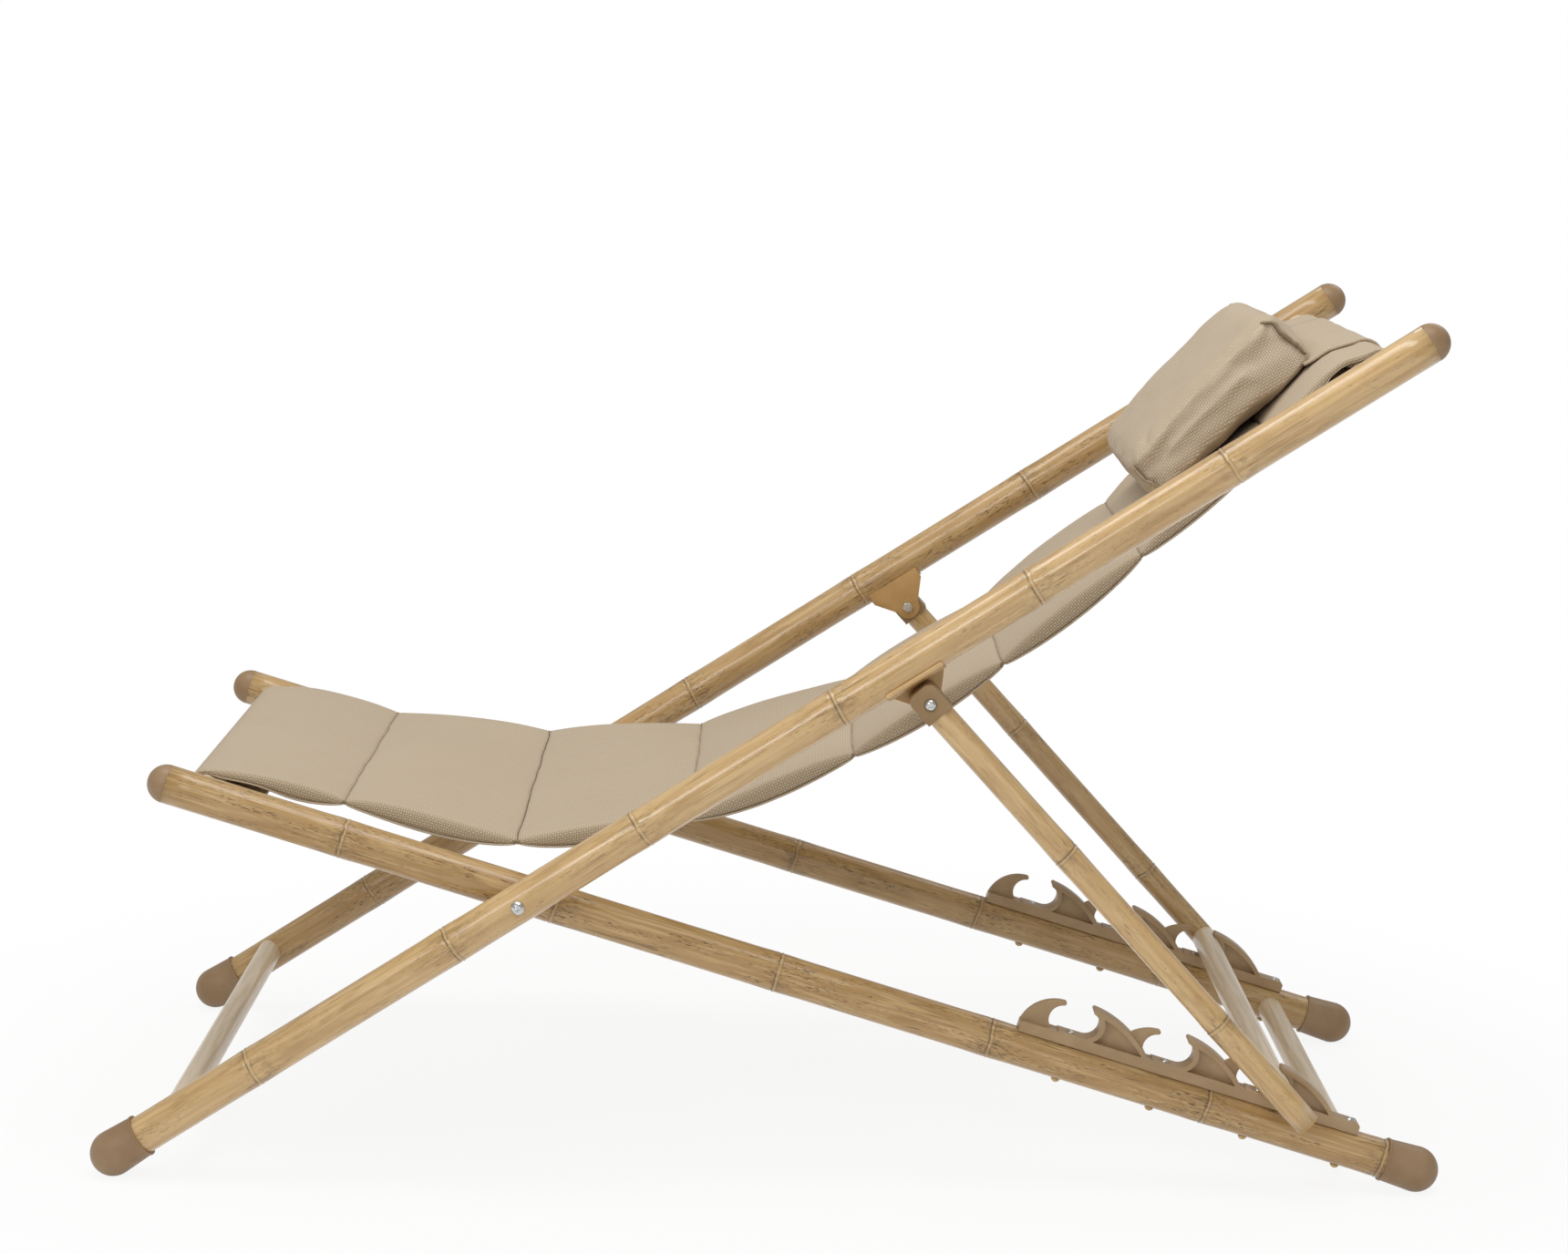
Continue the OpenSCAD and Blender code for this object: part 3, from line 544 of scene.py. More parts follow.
tubes = {
    "back": {"piece": "cane_long", "node": "back_rail", "body": "back_frame",
             "origin": pivot, "angle": backAngle, "y": backY,
             "start": -436.7 * mm, "end": 963.9 * mm, "radius": 18 * mm},
    "seat": {"piece": "cane_seat", "node": "seat_rail", "body": "seat_frame",
             "origin": pivot, "angle": seatAngle, "y": seatY,
             "start": -341.7 * mm, "end": 865.3 * mm, "radius": 18 * mm},
    "prop": {"piece": "cane_prop", "node": "prop_leg", "body": "prop_frame",
             "origin": hinge, "angle": propAngle, "y": backY,
             "start": -10 * mm, "end": propLength + 38.8 * mm, "radius": 12.5 * mm},
}
canes = [
    # frame, side, joints in mm from the pivot or the prop's hinge, and how ripe the cane looks with
    # how much painted shade it takes, darker on the seat rails and the far side's canes
    ("back", "left", (-292, -73, 131, 343, 550, 756), 0.1),
    ("back", "right", (-242, -37, 169, 380, 593, 800), 0.75),
    ("seat", "left", (-174, 31, 246, 453, 665, 838), 1.0),
    ("seat", "right", (-150, 58, 265, 470, 680), 0.8),
    ("prop", "left", (187, 401), 0.0),
    ("prop", "right", (178, 390), 0.45),
]


def caneTube(p, tube, side, joints, ripe, seed):
    start, end, middle = tube["start"], tube["end"], p["pair"] / 2
    places = {start, end}
    for joint in joints:
        places.update(joint + offset * mm for offset in p["offsets"])
    steps = int((end - start) / p["plainStep"])
    for k in range(1, steps):
        at = start + (end - start) * k / steps
        if all(abs(at - joint) > p["jointClear"] for joint in joints):
            places.add(at)
    places = sorted(at for at in places if start <= at <= end)

    def profile(at):
        grown = 0.0
        for joint in joints:
            d = at - joint
            grown += p["swell"] * bell(d - middle, p["swellReach"])
            grown += p["lip"] * bell(d - middle, p["lipReach"])
            grown -= p["groove"] * bell(d, p["grooveReach"])
            grown -= p["secondGroove"] * bell(d - p["pair"], p["grooveReach"])
        return tube["radius"] + grown

    bm = bmesh.new()
    line = [bm.verts.new((start, 0, 0))]
    line += [bm.verts.new((at, 0, profile(at))) for at in places]
    line.append(bm.verts.new((end, 0, 0)))
    edges = [bm.edges.new(pair) for pair in zip(line, line[1:])]
    bmesh.ops.spin(bm, geom=line + edges, cent=(0, 0, 0), axis=(1, 0, 0), angle=math.tau,
                   steps=p["sides"], use_merge=True)
    bmesh.ops.remove_doubles(bm, verts=bm.verts, dist=0.01 * mm)
    bmesh.ops.recalc_face_normals(bm, faces=bm.faces)
    grain = bm.verts.layers.float_vector.new("grain")
    ringLine, ringStain, ringPale, shadeAndRipeness = (
        bm.verts.layers.float.new(layer)
        for layer in ("ringLine", "ringStain", "ringPale", "shadeAndRipeness"))
    for v in bm.verts:
        at = v.co.x
        v[grain] = (at + seed * 3.7, v.co.y + seed * 0.31, v.co.z)
        # how ripe the cane looks, and how much painted shade it takes
        v[shadeAndRipeness] = ripe
        away, nearest = min((abs(at - joint), k) for k, joint in enumerate(joints))
        d = at - joints[nearest]
        v[ringLine] = max(bell(d, p["lineReach"]),
                          p["secondLine"] * bell(d - p["pair"], p["secondLineReach"]))
        v[ringPale] = bell(d - middle, p["paleReach"])
        v[ringStain] = bell(away, p["stainAfter"] if d > 0 else p["stainBefore"])
        # The joint leans a little, a different way each time
        lean = math.sin(seed * 2.1 + nearest * 1.7) * p["tilt"]
        wobble = noise.noise((v.co.y * 90, v.co.z * 90, seed + nearest)) * p["wobble"]
        v.co.x += bell(away, p["tiltReach"]) * (lean * v.co.z + wobble)
    y = -tube["y"] if side == "left" else tube["y"]
    matrix = placing(tube["origin"], tube["angle"], y)
    bmesh.ops.transform(bm, matrix=matrix, verts=bm.verts)
    newPiece(f"{tube['piece']}_{side}", bm, bamboo, tube["body"], [f"{tube['node']}_{side}"])


for index, (kind, side, jointPlaces, ripe) in enumerate(canes):
    caneTube(cane, tubes[kind], side, [at * mm for at in jointPlaces], ripe, index + 1)
print("canes ready")

# Carried-over nodes: copies with merged points, softened edges and their own materials

softened = [
    # material, slot, edge width in mm, and nodes, where a name that ends in _ has both sides
    (plainPaint, "plain_paint", 0.0,
     ("front_cross_tube", "top_rod", "front_rod", "rear_cross_tube", "prop_bar")),
    (footPlastic, "end_plastic", 0.4, ("back_foot_", "seat_foot_")),
    (footPlastic, "end_plastic", 0.0, ("back_cap_", "seat_cap_")),
    (rackPlastic, "rack_plastic", 0.5, ("rack_",)),
    (strawPlastic, "end_plastic", 0.0, ("rack_nuts",)),
    (zincSteel, "zinc_steel", 0.15, ("rack_screws",)),
    (zincSteel, "zinc_steel", 0.2, ("pivot_bolts",)),
    (zincSteel, "zinc_steel", 0.3, ("pivot_nuts",)),
    (washerNylon, "washer_plastic", 0.2, ("pivot_washers",)),
    (bracketPaint, "bracket_paint", 0.3, ("prop_bracket_",)),
    (brownPlastic, "rack_plastic", 0.8, ("prop_knuckle_",)),
    (strawPlastic, "end_plastic", 0.3, ("prop_end_plugs",)),
    (zincSteel, "zinc_steel", 0.15, ("hinge_bolts",)),
    (zincSteel, "zinc_steel", 0.3, ("hinge_nuts",)),
]
shortEdge = 0.5 * mm  # the rims of small holes stay as they are, because a bevel would fold there
sharpAngle = math.radians(32)


def markSharp(bm):
    for edge in bm.edges:
        edge.smooth = not (edge.is_manifold and edge.calc_face_angle(0) > sharpAngle)


def softenNode(node, material, width):
    source = frame["nodes"][node]
    bm = bmesh.new()
    bm.from_mesh(source.data)
    bmesh.ops.remove_doubles(bm, verts=bm.verts, dist=0.002 * mm)
    bmesh.ops.dissolve_limit(bm, angle_limit=math.radians(0.6), verts=bm.verts, edges=bm.edges)
    for face in bm.faces:
        face.smooth = True
    markSharp(bm)
    if width:
        edges = [e for e in bm.edges if not e.smooth and e.calc_length() > shortEdge]
        bmesh.ops.bevel(bm, geom=edges, offset=width * mm, offset_type="OFFSET", segments=2,
                        profile=0.5, affect="EDGES", clamp_overlap=True, material=-1)
        markSharp(bm)
    newPiece(f"{node}_finished", bm, material, source["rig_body"], [node])


for material, slot, width, names in softened:
    for name in names:
        for node in ([name + "left", name + "right"] if name.endswith("_") else [name]):
            softenNode(node, material, width)
print("carried nodes finished")

# The rounded lip along a bracket's outer edge, pressed from the same sheet

bracketLip = {
    "at": 416.4 * mm, "length": 60 * mm, "width": 5.4 * mm, "thick": 2.8 * mm,
    "out": 19.3 * mm, "angle": math.radians(42), "corner": 2.4 * mm, "edge": 1.0 * mm,
}


def makeBracketLip(p, side, sign):
    bm = bmesh.new()
    bmesh.ops.create_cube(bm, size=1)
    bmesh.ops.scale(bm, vec=(p["length"], p["thick"], p["width"]), verts=bm.verts)
    corners = [e for e in bm.edges if abs(e.verts[0].co.y - e.verts[1].co.y) > p["thick"] / 2]
    bmesh.ops.bevel(bm, geom=corners, offset=p["corner"], segments=4, profile=0.5, affect="EDGES",
                    material=-1)
    rims = [e for e in bm.edges if abs(e.verts[0].co.y - e.verts[1].co.y) < p["thick"] / 2]
    bmesh.ops.bevel(bm, geom=rims, offset=p["edge"], segments=3, profile=0.5, affect="EDGES",
                    material=-1)
    place = Matrix.Translation((p["at"], sign * p["out"] * math.cos(p["angle"]),
                                -p["out"] * math.sin(p["angle"])))
    lean = Matrix.Rotation(-sign * p["angle"], 4, "X")
    bmesh.ops.transform(bm, matrix=placing(pivot, backAngle, sign * backY) @ place @ lean,
                        verts=bm.verts)
    bmesh.ops.recalc_face_normals(bm, faces=bm.faces)
    newPiece(f"bracket_lip_{side}", bm, lipLitPaint, "back_frame", None)


makeBracketLip(bracketLip, "left", -1)
makeBracketLip(bracketLip, "right", 1)
print("bracket lips ready")

# Sling: a quilted sheet made flat, then hung from the front rod over its sag to the top rod.
# Its middle line repeats part.scad. Sizes are in mm, and places are from the pivot.

sling = {
    "half": 222.0, "firstSeam": 129.0, "seamPitch": 163.0, "split": 292.0, "splitGap": 0.3,
    "sag": 187.0, "lift": 6.0, "wrap": 15.05, "frontRod": (-310.0, 0.0), "topRod": (922.0, -5.0),
    "hang": ((0.101, 0.326), (0.225, 0.754), (0.364, 0.966), (0.501, 0.973), (0.64, 0.796),
             (0.773, 0.525), (0.909, 0.182), (0.967, 0.002)),
    "tail": 50.0, "tailThick": 3.4,
    "turn": math.pi * 1.07,  # how far the cloth goes round a rod
    "seamThick": 3.6, "padThick": 18.5, "padPower": 0.62,
    "fullEdge": 9.0,         # where the pad is thinner than this, its edge is smaller too
    "straight": 0.5,         # how far the panels are pulled straight between their seams
    "smoothing": 5.0,        # the line's direction is taken over this distance on both sides
    "narrow": 5.0, "narrowReach": 16.0,  # the cloth gathers in at the front rod
    "seamNarrow": 1.8,       # and at each seam
    "shoulder": 7.0,         # rounding of the pad's upper edge
    "underShoulder": 12.0,
    "flatSteps": 20, "shoulderSteps": 6, "underSteps": 16,
    # Side wall and hem: out with the panel's fullness, out, share of the height, and rise over it
    "wall": ((0.9, 0, -0.25, 0), (0.6, 0, -0.6, 0), (0, -1.0, -1, 2.3), (0, -1.6, -1, 1.7),
             (0, 1.5, -1, 1.5), (0, 1.8, -1, 0.7), (0, 0.9, -1, 0), (0, -1.5, -0.9, 0),
             (0, -3.0, -0.85, 0)),
    # the side wall's columns, which take the coarse weave painted darker as shade
    "coarseShadeFrom": 22, "coarseShadeTo": 28, "hemColumn": 29,  # counted from the middle of the cloth
    # The pad is thinner over the open sides of the two sleeves
    "mouth": 7.0, "mouthAt": 44.0, "mouthReach": 34.0,
    "topMouth": 12.0, "topMouthAt": 38.0, "topMouthReach": 30.0,
    "roll": (905.5, 5.0), "rollRadius": 4.3, "rollHalf": 214.0,  # the rolled hem in the top sleeve
    "groove": 0.9, "grooveReach": 1.3,
    "pucker": 0.75, "puckerReach": 13.0, "wander": 1.6, "wanderReach": 25.0, "swell": 1.3,
    "edge": 12.0, "ruck": 0.7,  # the strip beside the side wall, and how much the wall gathers
    "seamLine": 0.7, "hemLine": 0.8,  # half widths of the needle lines
    "knot": 1.0, "knotIn": 1.6, "knotShape": (1.9, 1.2, 2.3, 1), "knotRough": 0.35,
    # How the real sling hangs a little twisted: the rise of each edge at the seams
    "twistFar": (0, -1, 8, 1, -5, -7, -8, -4, 0), "twistNear": (0, 1, -8, -1, 6, 6, 5, 3, 0),
    "seamRows": (0, 0.5, 1.2, 2.4, 4.5, 8, 12.5, 18, 25, 33, 42, 52, 62, 72),
    "endRows": (6, 13, 21, 30, 40, 50, 60, 70, 80), "leastRow": 0.3,
}


def makeSlingLine(p):
    # A smooth line through the hang's points, leaving each rod along a tangent
    front = Vector(turned(*p["frontRod"], seatAngle))
    top = Vector(turned(*p["topRod"], backAngle))
    chord = top - front
    down = Vector((chord.y, -chord.x)).normalized()
    hung = [front + chord * along + down * (share * p["sag"] - (1 - share) * p["lift"])
            for along, share in p["hang"]]
    first, last = hung[0] - front, top - hung[-1]
    frontLean = math.atan2(first.y, first.x) - math.asin(p["wrap"] / first.length)
    topLean = math.atan2(last.y, last.x) + math.asin(p["wrap"] / last.length)
    line = curve([front + Vector(turned(0, p["wrap"], frontLean))] + hung
                 + [top + Vector(turned(0, p["wrap"], topLean))], 8)
    places = lengthsAlong(line)
    return {"front": front, "top": top, "frontLean": frontLean, "topLean": topLean, "line": line,
            "places": places, "length": places[-1]}


slingLine = makeSlingLine(sling)
slingLength = slingLine["length"]
slingSeams = [sling["firstSeam"] + k * sling["seamPitch"] for k in range(7)]


def onSmoothLine(at):
    places, line = slingLine["places"], slingLine["line"]
    k = min(max(bisect.bisect(places, at) - 1, 0), len(line) - 2)
    return line[k].lerp(line[k + 1], (at - places[k]) / (places[k + 1] - places[k]))


def onSlingLine(at):
    # The smooth line, pulled part of the way straight between two seams
    smooth = onSmoothLine(at)
    for a, b in zip(slingSeams, slingSeams[1:]):
        if a <= at <= b:
            straight = onSmoothLine(a).lerp(onSmoothLine(b), (at - a) / (b - a))
            return smooth.lerp(straight, sling["straight"])
    return smooth


def panelShare(at):
    # 0 and 1 at the seams round a panel, and the panel's number
    ends = [0.0] + slingSeams + [slingLength]
    k = min(max(bisect.bisect(ends, at) - 1, 0), len(ends) - 2)
    return (at - ends[k]) / (ends[k + 1] - ends[k]), k


def fullnessAt(at):
    # 1 in the middle of a panel, 0 at its seams and beyond the rods
    return math.sin(math.pi * panelShare(at)[0]) if 0 < at < slingLength else 0.0


def mouthAt(at):
    # How much thinner the pad is over the open side of a sleeve
    p, left = sling, slingLength - at
    if at <= 0 or left <= 0:
        return 0.0
    front = p["mouth"] * bell(at - p["mouthAt"], p["mouthReach"])
    return front + p["topMouth"] * bell(left - p["topMouthAt"], p["topMouthReach"])


def mouthLift(at):
    # The thinner pad keeps its upper side
    return 0.5 * mouthAt(at) * within(min(at, slingLength - at) / 20)


def slingThickness(at):
    p = sling
    if at <= 0 or at >= slingLength:
        return p["tailThick"]
    thick = p["seamThick"] + (p["padThick"] - p["seamThick"]) * fullnessAt(at) ** p["padPower"]
    return max(thick - mouthAt(at), p["seamThick"])


def slingFrame(at):
    # Middle point and direction across the cloth, also round the rods and along the sleeves' tails
    p, s = sling, slingLine
    if at < 0 or at > slingLength:
        way = -1 if at < 0 else 1
        centre, lean = (s["front"], s["frontLean"]) if at < 0 else (s["top"], s["topLean"])
        gone = -at if at < 0 else at - slingLength
        angle = lean + math.pi / 2 - way * min(gone / p["wrap"], p["turn"])
        out = Vector((math.cos(angle), math.sin(angle)))
        beyond = max(0.0, gone - p["turn"] * p["wrap"])
        return centre + out * p["wrap"] + way * beyond * Vector((out.y, -out.x)), out
    a = onSlingLine(max(0.0, at - p["smoothing"]))
    b = onSlingLine(min(slingLength, at + p["smoothing"]))
    return onSlingLine(at), Vector((a.y - b.y, b.x - a.x)).normalized()


def slingSection(p, at):
    # The closed outline across the sling: distance along the cloth from its middle, place across
    # the chair and height over the middle line. The top turns down into a side wall with a hem.
    thick, fullness = slingThickness(at), fullnessAt(at)
    half = p["half"] - p["narrow"] * bell(max(0.0, at), p["narrowReach"])
    half -= p["seamNarrow"] * (1 - fullness)
    up, small = thick / 2, min(1.0, thick / p["fullEdge"])
    shoulder, under = p["shoulder"] * small, p["underShoulder"] * small
    steps = p["flatSteps"]
    side = [((half - shoulder) * k / steps, up) for k in range(steps)]
    for k in range(p["shoulderSteps"] + 1):
        a = math.pi / 2 * (1 - k / p["shoulderSteps"])
        side.append((half - shoulder + shoulder * math.cos(a), up * (0.15 + 0.85 * math.sin(a))))
    side += [(half + full * fullness + out * small, high * up + over * small)
             for full, out, high, over in p["wall"]]
    edge, low = side[-1][0], -p["wall"][-1][2]
    for k in range(1, p["underSteps"] + 1):
        inner = edge - edge * k / p["underSteps"]
        side.append((inner, -up * (low + (1 - low) * min(1.0, (edge - inner) / under))))
    lengths = lengthsAlong([Vector(point) for point in side])
    right = [(length, *point) for length, point in zip(lengths, side)]
    return [(-length, -y, h) for length, y, h in right[:0:-1]] + right


def slingRows(p, start, end):
    # Rows close together at the seams, the rods and the sleeves
    rows = {start, end}
    for seam in slingSeams:
        for offset in p["seamRows"]:
            rows.update((seam - offset, seam + offset))
    for offset in range(0, 105, 5):
        rows.update((-offset, slingLength + offset))
    for offset in p["endRows"]:
        rows.update((offset, slingLength - offset))
    rows = sorted(at for at in rows if start <= at <= end)
    kept = [rows[0]]
    for at in rows[1:]:
        if at - kept[-1] > p["leastRow"]:
            kept.append(at)
    kept[-1] = end
    return kept


def twistAt(at, y):
    # The twist of the real sling, eased from seam to seam
    share, k = panelShare(min(max(at, 0.0), slingLength))
    ends = sling["twistFar"] if y > 0 else sling["twistNear"]
    ease = share * share * (3 - 2 * share)
    return (ends[k] * (1 - ease) + ends[k + 1] * ease) * (abs(y) / sling["half"]) ** 1.3


def flatCloth(rows, columns, markNames, onWeave):
    # A flat grid with its weave laid out, the row and column of each of its points, and layers for
    # marks. The layers come first, because a new one makes older handles of points invalid.
    bm = bmesh.new()
    bmesh.ops.create_grid(bm, x_segments=rows, y_segments=columns, size=0.5)
    uv = bm.loops.layers.uv.new("weave")
    marks = [bm.verts.layers.float.new(name) for name in markNames]
    spots = {v: (round((v.co.x + 0.5) * rows), round((v.co.y + 0.5) * columns)) for v in bm.verts}
    for face in bm.faces:
        for loop in face.loops:
            along, across = onWeave(*spots[loop.vert])
            loop[uv].uv = (along * mm, across * mm)
    return bm, spots, *marks


def makeSlingPiece(p, name, start, end, nodes):
    rows = slingRows(p, start, end)
    sections = [slingSection(p, at) for at in rows]
    columns = len(sections[0])
    bm, spots, needle, coarseShadedWall = flatCloth(len(rows) - 1, columns - 1, ("seamLine", "coarseShadedWall"),
                                          lambda i, j: (rows[i], sections[i][j][0]))
    for v, (i, j) in spots.items():
        at, column = rows[i], abs(j - columns // 2)
        length, y, h = sections[i][j]
        seamAway = min(abs(at - seam) for seam in slingSeams)
        near = bell(seamAway, p["puckerReach"])
        inside = within((p["half"] - abs(y)) / p["edge"])
        sign = 1 if h > 0 else -1
        # Seams wander a little, gather the cloth beside them and pull a groove
        wander = noise.noise((y / 38, round(at / p["seamPitch"]) * 7.3, 0.5)) * p["wander"]
        wander *= bell(seamAway, p["wanderReach"])
        place = at + wander if 3 < at < slingLength - 3 else at
        gather = noise.noise((y / 7.5, at / 26, 2.0 + sign))
        gather += 0.6 * noise.noise((y / 15, at / 40, 9.0 + sign))
        billow = noise.noise((y / 90, at / 55, 4.0 + sign))
        billow += 0.5 * noise.noise((y / 40, at / 30, 6.0))
        h += sign * near * (1 - bell(seamAway, 3)) * gather * p["pucker"] * (0.4 + 0.6 * inside)
        h += sign * fullnessAt(at) * p["swell"] * inside * billow
        if abs(h) > 0.4:
            h -= sign * p["groove"] * bell(seamAway, p["grooveReach"])
        # The side walls gather too, more where the panels end
        ruck = noise.noise((at / 8, h / 6, 3.0 if y > 0 else 5.0))
        y += math.copysign((1 - inside) * (0.5 + near) * p["ruck"] * ruck, y)
        # the side wall is marked for the coarse weave and its painted shade
        if p["coarseShadeFrom"] <= column <= p["coarseShadeTo"]:
            v[coarseShadedWall] = 0.5 if column == p["coarseShadeFrom"] else 1.0
        hemAway = abs(length) - abs(sections[i][columns // 2 + p["hemColumn"]][0])
        v[needle] = max(bell(seamAway, p["seamLine"]), 0.8 * bell(hemAway, p["hemLine"]))
        if 0 < at < slingLength:
            h += twistAt(at, y) + mouthLift(at)
        middle, out = slingFrame(place)
        v.co = fromPivot(middle + out * h, y)
    bmesh.ops.remove_doubles(bm, verts=bm.verts, dist=0.0005 * mm)
    bmesh.ops.holes_fill(bm, edges=[e for e in bm.edges if e.is_boundary], sides=0)
    bmesh.ops.recalc_face_normals(bm, faces=bm.faces)
    # Needle knots where a seam ends at the hem
    for seam in (seam for seam in slingSeams if start - 1 < seam < end + 1):
        at = min(max(seam, start + 1.2), end - 1.2)
        middle, out = slingFrame(at)
        for side in (-1, 1):
            spot = fromPivot(middle + out * twistAt(at, side * p["half"]),
                             side * (p["half"] - p["knotIn"]))
            knot = bmesh.ops.create_icosphere(
                bm, subdivisions=2, radius=p["knot"] * mm,
                matrix=Matrix.Translation(spot) @ Matrix.Diagonal(p["knotShape"]))
            for v in knot["verts"]:
                v.co += v.normal * p["knotRough"] * mm * noise.noise(v.co * 900)
                v[needle] = 1.0
    piece = newPiece(name, bm, cloth, None, nodes)
    return piece


def makeRoll(p):
    # The rolled hem that ends the top sleeve, seen in its open side
    bm = bmesh.new()
    bmesh.ops.create_cone(bm, cap_ends=True, segments=20, radius1=p["rollRadius"],
                          radius2=p["rollRadius"], depth=2 * p["rollHalf"])
    caps = [face for face in bm.faces if len(face.verts) > 4]
    bmesh.ops.inset_region(bm, faces=caps, thickness=0.9, depth=0.5)
    sides = [e for e in bm.edges if e.calc_length() > p["rollHalf"]]
    bmesh.ops.subdivide_edges(bm, edges=sides, cuts=48)
    for v in bm.verts:
        wave = 1 + 0.06 * noise.noise((v.co.z / 9, v.co.x / 3, v.co.y / 3))
        v.co = fromRail(p["roll"][0] + v.co.x * wave, p["roll"][1] + v.co.y * wave, v.co.z)
    uv = bm.loops.layers.uv.new("weave")
    for face in bm.faces:
        for loop in face.loops:
            loop[uv].uv = (loop.vert.co.x + loop.vert.co.z, loop.vert.co.y)
    bmesh.ops.recalc_face_normals(bm, faces=bm.faces)
    newPiece("sleeve_roll", bm, cloth, "back_frame", None)


sleeve = sling["wrap"] * sling["turn"] + sling["tail"]
slingFront = makeSlingPiece(sling, "sling_front_quilted", -sleeve,
                            sling["split"] - sling["splitGap"], ["sling_seat"])
slingBack = makeSlingPiece(sling, "sling_back_quilted", sling["split"], slingLength + sleeve,
                           ["sling_bend", "sling_back"])
makeRoll(sling)
seamPoints = [tuple(fromPivot(onSlingLine(at), 0)) for at in slingSeams]
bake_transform(slingFront)
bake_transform(slingBack)
print("sling ready")

# Head pillow: a box cushion that lies on the top panels, its ends folded in like a parcel's

pillow = {
    "half": 127.0,
    # Places on the long rail's line: along it and across it, in mm from the pivot
    "frontLow": (682.0, -10.0), "frontUp": (678.0, 24.0),
    "backUp": (873.0, 78.0), "backLow": (892.0, 26.0),
    "crown": 5.0, "square": 10.0, "endBulge": 3.0, "endLean": 9.0, "cuts": 22,
    "voxel": 5.0, "pressure": 4.0, "tension": 18, "bending": 0.6, "frames": 20, "cap": 4.0,
    # The lowest part is pressed flat on the sling and out, this near to an end or off the middle
    "settle": 18.0, "settlePower": 1.7, "flare": 3.5, "flareIn": 30, "flareFrom": 70,
    "pinch": 5.0, "pinchReach": 24.0, "crease": 0.9, "wave": 1.4,
    "pleat": 1.3, "pleats": 9, "pleatReach": 16.0, "tuck": 26.0,  # only this near to an end
    "clear": 0.4,                  # how far it lies over the sling
    # The sewn folds at the tucked corners: their points as a place along and across the rail and a
    # share of the half width, then their direction, width and seed
    "backFold": (((858, 76, 0.93), (870, 72, 0.99), (880, 58, 1.03), (886, 44, 1.04),
                  (891, 33, 1.03), (897, 27, 1.0)), (1, 0.6, 1.3), 6.0, 1.0),
    "frontFold": (((678, 22, 0.97), (680, 10, 1.02), (686, 0, 1.045), (696, -8, 1.05)),
                  (-0.5, 0.2, 1.2), 6.5, 4.0),
    "foldThick": 1.8, "foldStep": 1.5, "foldGather": 1.6,
    # How the ends are marked stretched and painted lighter as painted light: up to this height,
    # this much less there, and on faces turned this far towards an end. Then the height that the
    # weave of the ends is counted from.
    "stretchLitTop": 60, "stretchLitLess": 0.6, "stretchLitFrom": 0.45, "stretchLitOver": 0.35, "weaveTop": 66,
}
tops = {"from": 900, "steps": 59, "over": 0.9}  # in mm along the sling and over it


def makeSlingTops(p):
    # The upper side of the sling on the long rail's line, which the pillow and its flap rest on
    line = []
    for k in range(p["steps"] + 1):
        at = p["from"] + (slingLength - p["from"]) * k / p["steps"]
        middle, out = slingFrame(at)
        spot = middle + out * (slingThickness(at) / 2 + mouthLift(at) + p["over"])
        line.append(turned(*spot, -backAngle))
    return line


slingTops = makeSlingTops(tops)


def slingTopAt(at):
    for a, b in zip(slingTops, slingTops[1:]):
        if a[0] <= at <= b[0]:
            return a[1] + (b[1] - a[1]) * (at - a[0]) / (b[0] - a[0])
    return slingTops[0][1] if at < slingTops[0][0] else slingTops[-1][1]


def blendPoint(a, b, share):
    return (a[0] + (b[0] - a[0]) * share, a[1] + (b[1] - a[1]) * share)


def shapePillow(p, a, b, c):
    # A point of the unit cube's skin, rounded, and set between the pillow's four long edges
    rounded = sum(abs(q) ** p["square"] for q in (a, b, c)) ** (-1 / p["square"])
    a, b, c = a * rounded, b * rounded, c * rounded
    along, up = (a + 1) / 2, (c + 1) / 2
    at, across = blendPoint(blendPoint(p["frontLow"], p["backLow"], along),
                            blendPoint(p["frontUp"], p["backUp"], along), up)
    rest = slingTopAt(at) + 0.5
    across = across * up + max(across, rest) * (1 - up) if up > 0.15 else max(across - 6, rest)
    across += p["crown"] * up * (1 - a * a) * (1 - 0.5 * b * b)
    grown = p["endBulge"] * (1 - a * a) * (1 - c * c) - p["endLean"] * c
    y = b * p["half"] + math.copysign(abs(b) ** 4 * grown, b)
    # The tucked corners draw in
    for corner in (p["backUp"], p["frontLow"]):
        away = math.hypot(at - corner[0], across - corner[1])
        y -= math.copysign(p["pinch"] * bell(away, p["pinchReach"]) * abs(b) ** 6, b)
    return fromRail(at, across, y)


def applyModifier(piece, modifier):
    with bpy.context.temp_override(object=piece, active_object=piece, selected_objects=[piece]):
        bpy.ops.object.modifier_apply(modifier=modifier.name)


def simulatePillow(piece, p):
    # Voxel remesh, then air pressure in a cloth, with each point's way limited
    remesh = piece.modifiers.new("remesh", "REMESH")
    remesh.mode = "VOXEL"
    remesh.voxel_size = p["voxel"] * mm
    bpy.context.view_layer.objects.active = piece
    applyModifier(piece, remesh)
    start = [v.co.copy() for v in piece.data.vertices]
    soft = piece.modifiers.new("cloth", "CLOTH")
    soft.settings.quality = 5
    soft.settings.use_pressure = True
    soft.settings.uniform_pressure_force = p["pressure"]
    soft.settings.effector_weights.gravity = 0
    soft.settings.tension_stiffness = p["tension"]
    soft.settings.bending_stiffness = p["bending"]
    soft.collision_settings.use_self_collision = False
    soft.collision_settings.use_collision = False
    for step in range(1, p["frames"] + 1):
        bpy.context.scene.frame_set(step)
    applyModifier(piece, soft)
    bpy.context.scene.frame_set(1)
    for v, was in zip(piece.data.vertices, start):
        gone = v.co - was
        if gone.length > p["cap"] * mm:
            v.co = was + gone * (p["cap"] * mm / gone.length)


